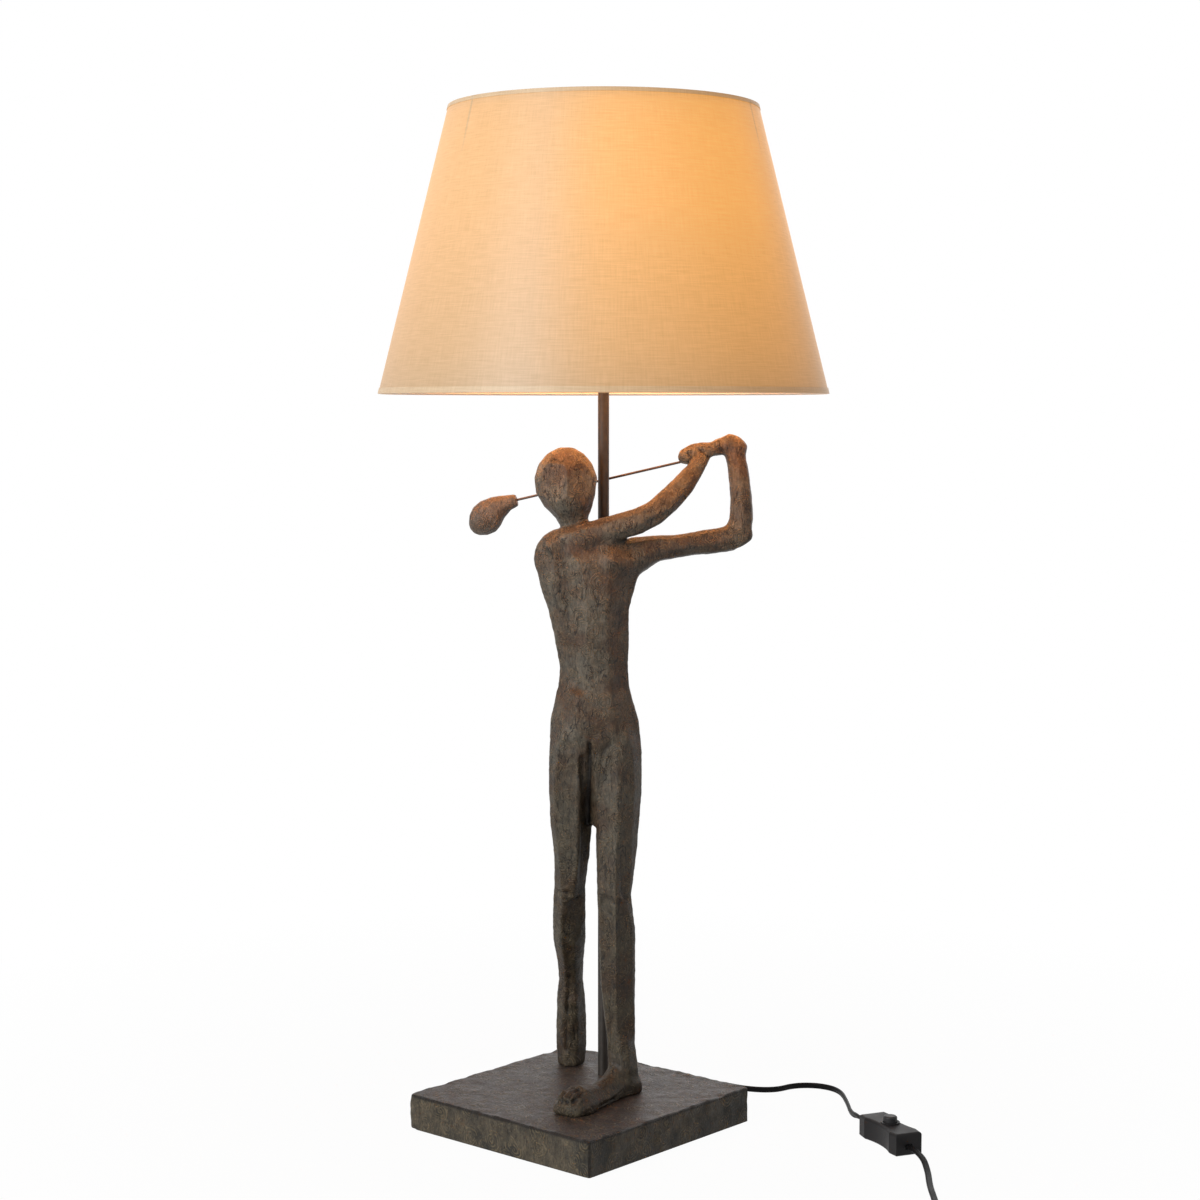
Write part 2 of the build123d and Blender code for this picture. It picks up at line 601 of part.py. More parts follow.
# ---- Bulb ---------------------------------------------------------------------------------
BULB_CAP_BOTTOM = BULB_BOTTOM + BULB_TIP_HEIGHT
BULB_CAP_TOP = BULB_CAP_BOTTOM + BULB_CAP_HEIGHT
GLOBE_BOTTOM = BULB_CAP_TOP + BULB_COLLAR_HEIGHT
BULB_TOP = BULB_BOTTOM + BULB_LENGTH
GLOBE_CENTRE = BULB_TOP - BULB_RADIUS
COLLAR_RADIUS = sqrt(BULB_RADIUS ** 2 - (GLOBE_CENTRE - GLOBE_BOTTOM) ** 2)

with BuildPart() as bulb_tip:
    with BuildSketch(Plane.XZ):
        with BuildLine():
            Polyline((0, BULB_BOTTOM), (BULB_TIP_RADIUS, BULB_BOTTOM),
                     (BULB_SEAT_RADIUS, BULB_CAP_BOTTOM),
                     (0, BULB_CAP_BOTTOM), close=True)
        make_face()
    revolve(axis=Axis.Z)
finish(bulb_tip.part, "bulb_contact")

with BuildPart() as bulb_cap:
    with BuildSketch(Plane.XY.offset(BULB_CAP_BOTTOM)):
        Circle(BULB_CAP_RADIUS)
    extrude(amount=BULB_CAP_HEIGHT)
    chamfer(bulb_cap.faces().sort_by(Axis.Z)[0].edges(), BULB_CAP_CHAMFER)
finish(bulb_cap.part, "bulb_cap")

with BuildPart() as bulb_collar:
    with BuildSketch(Plane.XY.offset(BULB_CAP_TOP)):
        Circle(BULB_CAP_RADIUS + COLLAR_LEDGE)
    with BuildSketch(Plane.XY.offset(BULB_CAP_TOP + BULB_COLLAR_HEIGHT * COLLAR_MIDDLE)):
        Circle(BULB_CAP_RADIUS + COLLAR_FLARE)
    with BuildSketch(Plane.XY.offset(GLOBE_BOTTOM)):
        Circle(COLLAR_RADIUS)
    loft(ruled=True)
finish(bulb_collar.part, "bulb_collar")

with BuildPart() as bulb_globe:
    with BuildSketch(Plane.XZ):
        with BuildLine():
            rim = Line((COLLAR_RADIUS - GLOBE_WALL, GLOBE_BOTTOM), (COLLAR_RADIUS, GLOBE_BOTTOM))
            outer = CenterArc((0, GLOBE_CENTRE), BULB_RADIUS,
                              degrees(atan2(GLOBE_BOTTOM - GLOBE_CENTRE, COLLAR_RADIUS)),
                              90 - degrees(atan2(GLOBE_BOTTOM - GLOBE_CENTRE, COLLAR_RADIUS)))
            top = Line((0, BULB_TOP), (0, BULB_TOP - GLOBE_WALL))
            ThreePointArc(top @ 1, ((BULB_RADIUS - GLOBE_WALL) * cos(pi / 5),
                                    GLOBE_CENTRE + (BULB_RADIUS - GLOBE_WALL) * sin(pi / 5)),
                          rim @ 0)
        make_face()
    revolve(axis=Axis.Z)
finish(bulb_globe.part, "bulb_globe")

# ---- Shade --------------------------------------------------------------------------------
with BuildPart() as cloth:
    with BuildSketch(Plane.XZ):
        with BuildLine():
            low = SHADE_BOTTOM + HEM_WALL
            high = SHADE_TOP - HEM_WALL
            Polyline((cone_radius(low) - HEM_WALL, low), (cone_radius(high) - HEM_WALL, high),
                     (cone_radius(high) - HEM_WALL - CLOTH_WALL, high),
                     (cone_radius(low) - HEM_WALL - CLOTH_WALL, low), close=True)
        make_face()
    revolve(axis=Axis.Z)
finish(cloth.part, "shade_cloth")


def hem(edge, inward, outside, label):
    """A tape folded over an edge of the cloth; inward is +1 or -1 along Z."""
    fold = edge + inward * HEM_WALL
    with BuildPart() as tape:
        with BuildSketch(Plane.XZ):
            with BuildLine():
                out_end = edge + inward * outside
                in_end = edge + inward * HEM_TURN_IN
                Polyline((cone_radius(edge), edge), (cone_radius(out_end), out_end),
                         (cone_radius(out_end) - HEM_WALL, out_end),
                         (cone_radius(fold) - HEM_WALL, fold),
                         (cone_radius(fold) - HEM_WALL - CLOTH_WALL, fold),
                         (cone_radius(in_end) - HEM_WALL - CLOTH_WALL, in_end),
                         (cone_radius(in_end) - 2 * HEM_WALL - CLOTH_WALL, in_end),
                         (cone_radius(edge) - 2 * HEM_WALL - CLOTH_WALL, edge), close=True)
            make_face()
        revolve(axis=Axis.Z)
    finish(tape.part, label)


hem(SHADE_TOP, -1, TOP_HEM, "shade_top_hem")
hem(SHADE_BOTTOM, 1, BOTTOM_HEM, "shade_bottom_hem")

LINING = 2 * HEM_WALL + CLOTH_WALL + WIRE_RADIUS  # from the cone to the centre of a wire
TOP_WIRE_HEIGHT = SHADE_TOP - WIRE_RADIUS
BOTTOM_WIRE_HEIGHT = SHADE_BOTTOM + WIRE_RADIUS
with BuildPart() as bottom_ring:
    with BuildSketch(Plane.XZ):
        with Locations((cone_radius(BOTTOM_WIRE_HEIGHT) - LINING - WIRE_GAP, BOTTOM_WIRE_HEIGHT)):
            Circle(WIRE_RADIUS)
    revolve(axis=Axis.Z)
finish(bottom_ring.part, "shade_bottom_ring")

with BuildPart() as spider:
    with BuildSketch(Plane.XZ):
        with Locations((cone_radius(TOP_WIRE_HEIGHT) - LINING - WIRE_GAP, TOP_WIRE_HEIGHT)):
            Circle(WIRE_RADIUS)
    revolve(axis=Axis.Z)
    with BuildSketch(Plane.XY.offset(SEAT_HEIGHT)):
        Circle(FITTING_HOLE_RADIUS + FITTING_WIDTH)
        Circle(FITTING_HOLE_RADIUS, mode=Mode.SUBTRACT)
    extrude(amount=FITTING_THICKNESS)
    bend_height = SHADE_TOP - ARM_RUN_DOWN
    for k in range(ARM_COUNT):
        out = Vector(1, 0, 0).rotate(Axis.Z, ARM_ANGLE + k * 360 / ARM_COUNT)
        top_end = out * (cone_radius(TOP_WIRE_HEIGHT) - LINING - WIRE_GAP) + UP * TOP_WIRE_HEIGHT
        bend = out * (cone_radius(bend_height) - LINING - ARM_BEND_GAP) + UP * bend_height
        ring_end = out * (FITTING_HOLE_RADIUS + FITTING_WIDTH - ARM_FOOT_IN) + UP * (
            SEAT_HEIGHT + FITTING_THICKNESS - ARM_FOOT_SINK)
        with BuildLine():
            FilletPolyline(top_end, bend, ring_end, radius=ARM_BEND_RADIUS)
        with BuildSketch(Plane(top_end, z_dir=bend - top_end)):
            Circle(WIRE_RADIUS)
        sweep()
finish(spider.part, "shade_spider")

# ---- Strain relief and the lead inside the lamp -------------------------------------------
def flat_section(grow=0.0):
    """Corners of the two-core cord's flat section, or of one larger by grow all round."""
    half_width = CORD_WIDTH / 2 + grow
    half_thickness = CORD_THICKNESS / 2 + grow
    return [(x * (half_width - CORD_EDGE * (1 - flat)), y * (half_thickness - CORD_EDGE * flat))
            for x, y, flat in ((1, -1, 1), (1, 1, 1), (1, 1, 0), (-1, 1, 0),
                               (-1, 1, 1), (-1, -1, 1), (-1, -1, 0), (1, -1, 0))]


relief_wall = Plane((0, PLINTH_BACK, RELIEF_HEIGHT), x_dir=(-1, 0, 0), z_dir=(0, 1, 0))
with BuildPart() as relief:
    with BuildSketch(relief_wall):
        RectangleRounded(RELIEF_WIDTH, RELIEF_DEPTH, RELIEF_EDGE)
    with BuildSketch(relief_wall.offset(RELIEF_LENGTH)):
        RectangleRounded(CORD_WIDTH + 2 * RELIEF_WALL, CORD_THICKNESS + 2 * RELIEF_WALL,
                         RELIEF_EDGE)
    loft(ruled=True)
    with BuildSketch(relief_wall):
        RectangleRounded(RELIEF_WIDTH + 2 * RELIEF_FLANGE_RIM,
                         RELIEF_DEPTH + 2 * RELIEF_FLANGE_RIM, RELIEF_EDGE)
    extrude(amount=RELIEF_FLANGE)
    with BuildSketch(relief_wall):
        Rectangle(CHANNEL_WIDTH - 2 * CHANNEL_FIT, RELIEF_DEPTH)
    extrude(amount=-RELIEF_INSIDE)
    with BuildSketch(relief_wall.offset(RELIEF_LENGTH)):
        Polygon(*flat_section(RELIEF_FIT), align=None)
    extrude(amount=-RELIEF_LENGTH - RELIEF_INSIDE, mode=Mode.SUBTRACT)
finish(relief.part, "strain_relief")

with BuildPart() as lead:
    with BuildLine():
        FilletPolyline((0, RELIEF_END, RELIEF_HEIGHT), (0, 0, RELIEF_HEIGHT),
                       (0, 0, HOLDER_BOTTOM), radius=LEAD_BEND)
    with BuildSketch(Plane((0, RELIEF_END, RELIEF_HEIGHT), x_dir=(1, 0, 0), z_dir=(0, -1, 0))):
        Polygon(*flat_section(), align=None)
    sweep()
finish(lead.part, "lead_in_rod")

# ---- Switch on the cord -------------------------------------------------------------------
switch_floor = Plane((SWITCH_X, SWITCH_Y, 0), x_dir=Vector(1, 0, 0).rotate(Axis.Z, SWITCH_HEADING),
                     z_dir=(0, 0, 1))
SWITCH_BOSSES = [BOSS_SPOT, (-BOSS_SPOT[0], -BOSS_SPOT[1])]
ROOF_INSIDE = SWITCH_HEIGHT - SWITCH_WALL
ENTRY_HALF = CORD_THICKNESS / 2 + ENTRY_GAP

with BuildSketch() as switch_outline:
    with BuildLine():
        end_half = SWITCH_WIDTH / 2 - SWITCH_END_TAPER
        corner = (SWITCH_LENGTH / 2, end_half)
        broad = (SWITCH_LENGTH / 3, SWITCH_WIDTH / 2)
        Line((SWITCH_LENGTH / 2, -end_half), corner)
        Line(corner, broad)
        ThreePointArc(broad, (0, SWITCH_WAIST / 2), (-broad[0], broad[1]))
        Line((-broad[0], broad[1]), (-corner[0], corner[1]))
        Line((-corner[0], corner[1]), (-corner[0], -corner[1]))
        Line((-corner[0], -corner[1]), (-broad[0], -broad[1]))
        ThreePointArc((-broad[0], -broad[1]), (0, -SWITCH_WAIST / 2), (broad[0], -broad[1]))
        Line((broad[0], -broad[1]), (corner[0], -corner[1]))
    make_face()
with BuildSketch() as switch_inside:
    add(switch_outline.sketch)
    offset(amount=-SWITCH_WALL, kind=Kind.INTERSECTION, mode=Mode.REPLACE)

with BuildPart() as lower_shell:
    with BuildSketch(switch_floor):
        add(switch_outline.sketch)
    extrude(amount=SWITCH_SPLIT)
    chamfer(lower_shell.faces().sort_by(Axis.Z)[0].edges(), SWITCH_FOOT_EDGE)
    with BuildSketch(switch_floor.offset(SWITCH_WALL)):
        add(switch_inside.sketch)
    extrude(amount=SWITCH_SPLIT, mode=Mode.SUBTRACT)
    with BuildSketch(switch_floor.offset(SWITCH_WALL)):
        with Locations(*SWITCH_BOSSES):
            Circle(BOSS_RADIUS)
    extrude(amount=SWITCH_SPLIT - SWITCH_WALL)
    with BuildSketch(switch_floor):
        with Locations(*SWITCH_BOSSES):
            Circle(SWITCH_SCREW_RADIUS + SWITCH_SCREW_CLEARANCE)
    extrude(amount=SWITCH_SPLIT, mode=Mode.SUBTRACT)
    with BuildSketch(switch_floor):
        with Locations(*SWITCH_BOSSES):
            Circle(SWITCH_SCREW_HEAD + SWITCH_SCREW_CLEARANCE)
    extrude(amount=SWITCH_SPLIT / 2, mode=Mode.SUBTRACT)
    with BuildSketch(switch_floor.offset(SWITCH_SPLIT)):
        with GridLocations(SWITCH_LENGTH - ENTRY_DEPTH, 0, 2, 1):
            Rectangle(ENTRY_DEPTH, CORD_WIDTH + 2 * ENTRY_GAP)
    extrude(amount=-ENTRY_HALF, mode=Mode.SUBTRACT)
finish(lower_shell.part, "switch_lower_shell")

with BuildPart() as upper_shell:
    with BuildSketch(switch_floor.offset(SWITCH_SPLIT)):
        add(switch_outline.sketch)
    extrude(amount=SWITCH_HEIGHT - SWITCH_SPLIT)
    fillet(upper_shell.faces().sort_by(Axis.Z)[-1].edges(), SWITCH_EDGE)
    with BuildSketch(switch_floor.offset(SWITCH_SPLIT)):
        add(switch_inside.sketch)
    extrude(amount=ROOF_INSIDE - SWITCH_SPLIT, mode=Mode.SUBTRACT)
    with BuildSketch(switch_floor.offset(SWITCH_SPLIT)):
        with Locations(*SWITCH_BOSSES):
            Circle(BOSS_RADIUS)
    extrude(amount=ROOF_INSIDE - SWITCH_SPLIT)
    with BuildSketch(switch_floor.offset(SWITCH_SPLIT)):
        with Locations(*SWITCH_BOSSES):
            Circle(SWITCH_SCREW_RADIUS)
    extrude(amount=SWITCH_SCREW_GRIP, mode=Mode.SUBTRACT)
    with BuildSketch(switch_floor.offset(ROOF_INSIDE)):
        Circle(BUTTON_RADIUS + RUNNING_GAP + BEZEL_WIDTH)
    extrude(amount=SWITCH_WALL + BEZEL_RISE)
    with BuildSketch(switch_floor.offset(ROOF_INSIDE)):
        Circle(BUTTON_RADIUS + RUNNING_GAP)
    extrude(amount=SWITCH_WALL + BEZEL_RISE, mode=Mode.SUBTRACT)
    with BuildSketch(switch_floor.offset(SWITCH_SPLIT)):
        with GridLocations(SWITCH_LENGTH - ENTRY_DEPTH, 0, 2, 1):
            Rectangle(ENTRY_DEPTH, CORD_WIDTH + 2 * ENTRY_GAP)
    extrude(amount=ENTRY_HALF, mode=Mode.SUBTRACT)
finish(upper_shell.part, "switch_upper_shell")

BUTTON_TOP = SWITCH_HEIGHT + BEZEL_RISE + BUTTON_TRAVEL + BUTTON_SHOWN
FLANGE_TOP = ROOF_INSIDE - RUNNING_GAP
with BuildPart() as button:
    with BuildSketch(switch_floor.offset(FLANGE_TOP - BUTTON_FLANGE)):
        Circle(BUTTON_RADIUS + BUTTON_LIP)
    extrude(amount=BUTTON_FLANGE)
    with BuildSketch(switch_floor.offset(FLANGE_TOP)):
        Circle(BUTTON_RADIUS)
    extrude(amount=BUTTON_TOP - FLANGE_TOP)
    fillet(button.faces().sort_by(Axis.Z)[-1].edges(), BUTTON_EDGE)
finish(button.part, "switch_button")

with BuildPart() as switch_screws:
    with BuildSketch(switch_floor.offset(SWITCH_SPLIT / 2 - SWITCH_SCREW_HEAD_HEIGHT)):
        with Locations(*SWITCH_BOSSES):
            Circle(SWITCH_SCREW_HEAD)
    extrude(amount=SWITCH_SCREW_HEAD_HEIGHT)
    with BuildSketch(switch_floor.offset(SWITCH_SPLIT / 2)):
        with Locations(*SWITCH_BOSSES):
            Circle(SWITCH_SCREW_RADIUS)
    extrude(amount=SWITCH_SPLIT / 2 + SWITCH_SCREW_GRIP - 1)
finish(switch_screws.part, "switch_screws")

# ---- The cord: from the strain relief to the switch, and on to the coil -------------------
entry = SWITCH_LENGTH / 2 - ENTRY_DEPTH
switch_start = switch_floor.from_local_coords((-entry, 0, SWITCH_SPLIT))
switch_end = switch_floor.from_local_coords((entry, 0, SWITCH_SPLIT))
before_switch = switch_floor.from_local_coords((-entry - SWITCH_RUN, 0, SWITCH_SPLIT))
after_switch = switch_floor.from_local_coords((entry + SWITCH_RUN, 0, SWITCH_SPLIT))
coil_plane = Plane(at(COIL_SIDE, COIL_FRONT, 0), x_dir=SIDE, z_dir=UP)
COIL_OUTER = COIL_INNER_RADIUS + COIL_HALF_TURNS * CORD_PITCH / 2
UPPER_LAYER = CORD_FLOOR + CORD_THICKNESS + LAYER_GAP
before_coil = coil_plane.from_local_coords((COIL_OUTER, COIL_RUN, CORD_FLOOR))
coil_start = coil_plane.from_local_coords((COIL_OUTER, CORD_WIDTH, CORD_FLOOR))
coil_end = coil_plane.from_local_coords((-CORD_WIDTH, -COIL_OUTER, UPPER_LAYER))

ROUTE_TO_SWITCH = [
    Vector(0, RELIEF_END, RELIEF_HEIGHT),
    Vector(0, 95.5, RELIEF_HEIGHT),
    Vector(14.5, 119.5, CORD_FLOOR),
    Vector(41.9, 124.5, CORD_FLOOR),
    Vector(67.4, 127.8, CORD_FLOOR),
    Vector(88.2, 142, CORD_FLOOR),
    Vector(92, 166.8, CORD_FLOOR),
    Vector(110.5, 182, CORD_FLOOR),
    Vector(134.5, 180.5, CORD_FLOOR),
    Vector(162, 153.2, CORD_FLOOR),
    Vector(184.4, 127.4, CORD_FLOOR),
    before_switch,
    switch_start,
]
ROUTE_TO_COIL = [
    switch_end,
    after_switch,
    Vector(325.6, 38.5, CORD_FLOOR),
    Vector(346.2, 9.6, CORD_FLOOR),
    Vector(370, -18.6, CORD_FLOOR),
    before_coil,
    coil_start,
]
ROUTE_TO_PLUG = [
    coil_end,
    coil_plane.from_local_coords((-14, -COIL_OUTER, UPPER_LAYER)),
    coil_plane.from_local_coords((-24, -COIL_OUTER, PLUG_ENTRY)),
    coil_plane.from_local_coords((-34, -COIL_OUTER, PLUG_ENTRY)),
]


def corner_radii(route):
    """The largest arc that each corner's two runs leave room for."""
    radii = []
    for before, here, after in zip(route, route[1:], route[2:]):
        turn = (here - before).get_angle(after - here)
        shorter = min((here - before).length, (after - here).length)
        radii.append(0.45 * shorter / tan(radians(turn / 2)))
    return radii


SECTION_AREA = CORD_WIDTH * CORD_THICKNESS - 2 * CORD_EDGE ** 2
cord_length = SWITCH_LENGTH
for label, route in (("cord_to_switch", ROUTE_TO_SWITCH), ("cord_to_coil", ROUTE_TO_COIL),
                     ("cord_to_plug", ROUTE_TO_PLUG)):
    radii = corner_radii(route)
    with BuildPart() as cord:
        with BuildLine() as line:
            FilletPolyline(*route, radius=radii)
        way = route[1] - route[0]
        with BuildSketch(Plane(route[0], x_dir=way.cross(UP), z_dir=way)):
            Polygon(*flat_section(), align=None)
        sweep()
    length = line.wires()[0].length
    cord_length += length
    print(label, "radii", [round(r) for r in radii], "length", round(length),
          "volume over section x length", round(cord.part.volume / (SECTION_AREA * length), 3))
    finish(cord.part, label)


# The coil: half turns inwards in the lower layer, a half turn that climbs, and out again above
def half_turn(x, radius, way, height):
    """Clockwise half turn on from (x, 0): its start, middle and end; way is +1 from the right."""
    centre = x - way * radius
    points = ((x, 0), (centre, -way * radius), (x - 2 * way * radius, 0))
    return [coil_plane.from_local_coords((*point, height)) for point in points]


with BuildPart() as coil:
    with BuildLine() as coil_line:
        Line(coil_start, coil_plane.from_local_coords((COIL_OUTER, 0, CORD_FLOOR)))
        x = COIL_OUTER
        way = 1
        for k in range(COIL_HALF_TURNS):
            radius = COIL_OUTER - k * CORD_PITCH / 2
            ThreePointArc(*half_turn(x, radius, way, CORD_FLOOR))
            x -= 2 * way * radius
            way = -way
        climb = UPPER_LAYER - CORD_FLOOR
        low, ahead, high = half_turn(x, COIL_INNER_RADIUS, way, CORD_FLOOR)
        x, way = -x, -way
        climb_middle = ahead + UP * climb / 2
        first_arc = TangentArc(low, climb_middle, tangent=FRONT)
        TangentArc(climb_middle, high + UP * climb, tangent=first_arc % 1)
        for k in range(COIL_HALF_TURNS - 1):
            radius = COIL_INNER_RADIUS + (k + 1) * CORD_PITCH / 2
            ThreePointArc(*half_turn(x, radius, way, UPPER_LAYER))
            x -= 2 * way * radius
            way = -way
        last_turn = coil_plane.from_local_coords((x, 0, UPPER_LAYER))
        outermost = coil_plane.from_local_coords((0, -COIL_OUTER, UPPER_LAYER))
        TangentArc(last_turn, outermost, tangent=FRONT)
        Line(outermost, coil_end)
    with BuildSketch(Plane(coil_start, x_dir=SIDE, z_dir=FRONT)):
        Polygon(*flat_section(), align=None)
    sweep()
length = coil_line.wires()[0].length
cord_length += length
print("cord_coil length", round(length), "volume over section x length",
      round(coil.part.volume / (SECTION_AREA * length), 3))
print("cord length in all", round(cord_length))
finish(coil.part, "cord_coil")


def points_along(wire, step):
    count = int(wire.length / step)
    return [wire.position_at(k / count) for k in range(count + 1)]


# Least gap between stretches of the coil that are more than two widths apart along it. Beside
# each other the flat cord counts its width, and one above the other its thickness.
SAMPLE_STEP = 1.5
coil_points = points_along(coil_line.wires()[0], SAMPLE_STEP)
least_gap = LAYER_GAP
skip = int(2 * CORD_WIDTH / SAMPLE_STEP)
for i, here in enumerate(coil_points):
    for there in coil_points[i + skip:]:
        apart = there - here
        level = sqrt(apart.X ** 2 + apart.Y ** 2) - CORD_WIDTH
        least_gap = min(least_gap, max(level, abs(apart.Z) - CORD_THICKNESS))
print("least gap of the coil to itself", round(least_gap, 2))

# ---- Plug ---------------------------------------------------------------------------------
plug_line = Plane(ROUTE_TO_PLUG[-1], x_dir=FRONT, z_dir=SIDE * -1)
plug_plan = Plane(ROUTE_TO_PLUG[-1] - UP * PLUG_ENTRY - SIDE * PLUG_RELIEF, x_dir=SIDE * -1,
                  z_dir=UP)
PLUG_FACE = PLUG_RELIEF + PLUG_LENGTH

with BuildPart() as plug:
    with BuildSketch(plug_plan):
        with BuildLine():
            Polyline((0, -PLUG_NECK / 2), (PLUG_LENGTH - PLUG_SHOULDER, -PLUG_WIDTH / 2),
                     (PLUG_LENGTH, -PLUG_WIDTH / 2), (PLUG_LENGTH, PLUG_WIDTH / 2),
                     (PLUG_LENGTH - PLUG_SHOULDER, PLUG_WIDTH / 2), (0, PLUG_NECK / 2), close=True)
        make_face()
    extrude(amount=PLUG_THICKNESS)
    fillet(plug.edges(), PLUG_EDGE)
    with BuildSketch(plug_line):
        RectangleRounded(CORD_THICKNESS + 2 * RELIEF_WALL, CORD_WIDTH + 2 * RELIEF_WALL,
                         RELIEF_EDGE, rotation=90)
    with BuildSketch(plug_line.offset(PLUG_RELIEF)):
        RectangleRounded(PLUG_RELIEF_DEPTH, PLUG_RELIEF_WIDTH, RELIEF_EDGE, rotation=90)
    loft(ruled=True)
    with BuildSketch(plug_line.offset(PLUG_FACE)):
        with GridLocations(PIN_SPACING, 0, 2, 1):
            Circle(PIN_RADIUS)
    extrude(amount=-PIN_ROOT, mode=Mode.SUBTRACT)
finish(plug.part, "plug_body")

with BuildPart() as pins:
    with BuildSketch(plug_line.offset(PLUG_FACE - PIN_ROOT)):
        with GridLocations(PIN_SPACING, 0, 2, 1):
            Circle(PIN_RADIUS)
    extrude(amount=PIN_ROOT + PIN_LENGTH)
    tips = pins.faces().filter_by(GeomType.PLANE).sort_by(Axis(plug_line.origin, SIDE * -1))[-2:]
    fillet(tips.edges(), PIN_NOSE)
finish(pins.part, "plug_pins")
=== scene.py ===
from math import asin, cos, pi, radians, sin, sqrt

import bmesh
import bpy
import numpy as np
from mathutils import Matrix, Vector


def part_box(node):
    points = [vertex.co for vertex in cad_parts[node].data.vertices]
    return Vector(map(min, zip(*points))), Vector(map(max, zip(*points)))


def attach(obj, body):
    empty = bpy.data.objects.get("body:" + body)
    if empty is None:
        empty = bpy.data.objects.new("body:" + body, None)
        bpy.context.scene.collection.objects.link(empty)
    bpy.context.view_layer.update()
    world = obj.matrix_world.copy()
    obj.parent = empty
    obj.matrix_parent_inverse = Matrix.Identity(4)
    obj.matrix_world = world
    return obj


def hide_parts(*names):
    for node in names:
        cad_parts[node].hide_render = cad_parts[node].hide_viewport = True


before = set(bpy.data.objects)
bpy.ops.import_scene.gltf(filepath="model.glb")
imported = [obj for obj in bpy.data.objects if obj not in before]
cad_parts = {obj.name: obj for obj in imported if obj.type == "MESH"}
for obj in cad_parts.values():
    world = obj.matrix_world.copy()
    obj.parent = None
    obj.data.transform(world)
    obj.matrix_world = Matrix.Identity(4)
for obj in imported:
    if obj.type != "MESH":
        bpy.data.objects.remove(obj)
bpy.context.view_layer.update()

MM = 0.001
FACING = 41.3  # degrees from -Y towards +X in which the golfer's chest faces
TO_HIS_LEFT = Vector((cos(radians(FACING)), sin(radians(FACING)), 0))
FORWARD = Vector((sin(radians(FACING)), -cos(radians(FACING)), 0))
UP = Vector((0, 0, 1))


def figure_point(side, front, height):
    """A point given in the golfer's own directions, in millimetres."""
    return (TO_HIS_LEFT * side + FORWARD * front + UP * height) * MM


# ---------------------------------------------------------------- camera
CAMERA_FRAME = 36.0  # the width in mm that the lens is given for
CAMERA_LENS = 71.66
CAMERA_PLACE = (1.4041, -1.6019, 0.6344)
CAMERA_TURN = (85.431, 0, 41.32)  # degrees


def place_camera():
    camera = bpy.data.cameras.new("product_camera")
    camera.sensor_fit = "HORIZONTAL"
    camera.sensor_width = CAMERA_FRAME
    camera.lens = CAMERA_LENS
    camera.clip_end = 50
    holder = bpy.data.objects.new("product_camera", camera)
    holder.location = CAMERA_PLACE
    holder.rotation_euler = [radians(turn) for turn in CAMERA_TURN]
    bpy.context.scene.collection.objects.link(holder)
    bpy.context.scene.camera = holder


place_camera()


# ---------------------------------------------------------------- modelling helpers
WELD = 0.00003  # triangles of a CAD mesh whose corners are this near share them
CLEFT_START = 0.4  # a cleft's share of its width and depth at its first end
CLEFT_REACH = 14 * MM  # how far before and behind its line a cleft takes hold
FLAT_FADE = 0.4  # the outer share of a flat's reach, over which it fades


def deselect():
    bpy.ops.object.select_all(action="DESELECT")


def only(piece):
    deselect()
    piece.select_set(True)
    bpy.context.view_layer.objects.active = piece


def named(name):
    """The primitive that was just added, under its own name, with its place in its mesh."""
    piece = bpy.context.object
    piece.name = name
    piece.data.name = name
    bpy.ops.object.transform_apply(location=True, rotation=True, scale=True)
    return piece


def mesh_piece(name, mesh):
    piece = bpy.data.objects.new(name, mesh)
    bpy.context.scene.collection.objects.link(piece)
    return piece


def apply_modifier(piece, kind, **settings):
    only(piece)
    modifier = piece.modifiers.new(kind.lower(), kind)
    for key, value in settings.items():
        setattr(modifier, key, value)
    bpy.ops.object.modifier_apply(modifier=modifier.name)


def smooth(piece, angle=None):
    only(piece)
    if angle is None:
        bpy.ops.object.shade_smooth()
    else:
        bpy.ops.object.shade_smooth_by_angle(angle=radians(angle))


def copy_of_node(node, name):
    """A merged copy of a CAD node's mesh, to be worked on."""
    piece = mesh_piece(name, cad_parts[node].data.copy())
    piece.data.name = name
    piece.data.materials.clear()
    only(piece)
    bpy.ops.mesh.customdata_custom_splitnormals_clear()
    bpy.ops.object.mode_set(mode="EDIT")
    bpy.ops.mesh.select_all(action="SELECT")
    bpy.ops.mesh.remove_doubles(threshold=WELD)
    bpy.ops.object.mode_set(mode="OBJECT")
    return piece


def lumps(name, kind, size, **settings):
    """A texture for the Displace modifier."""
    texture = bpy.data.textures.new(name, kind)
    texture.noise_scale = size
    for key, value in settings.items():
        setattr(texture, key, value)
    return texture


def read_rows(mesh, kind):
    """The vertices' places or normals, a row each."""
    rows = np.empty(len(mesh.vertices) * 3)
    mesh.vertices.foreach_get(kind, rows)
    return rows.reshape(-1, 3)


def write_points(mesh, points):
    mesh.vertices.foreach_set("co", points.ravel())
    mesh.update()


def beside_line(points, start, end):
    """How far along a line the nearest place to each point is, 0 to 1, and the way from there
    to the point. The line's ends are in the golfer's directions, in mm."""
    first = np.array(figure_point(*start))
    along = np.array(figure_point(*end)) - first
    share = np.clip((points - first) @ along / (along @ along), 0, 1)
    return share, points - first - share[:, None] * along


def worked_strokes(piece, strokes, sharp=False):
    """Push the surface out, or in where push is negative, within a radius of a line.
    Each stroke has its two ends in the golfer's directions, its radius and its push, all mm.
    Sharp strokes leave flat flanks that meet in an edge."""
    points = read_rows(piece.data, "co")
    move = np.zeros(len(points))
    for start, end, radius, push in strokes:
        away = np.linalg.norm(beside_line(points, start, end)[1], axis=1) / (radius * MM)
        near = np.clip(1 - away, 0, 1) if sharp else np.clip(1 - away ** 2, 0, 1) ** 2
        move += push * MM * near
    points += read_rows(piece.data, "normal") * move[:, None]
    write_points(piece.data, points)


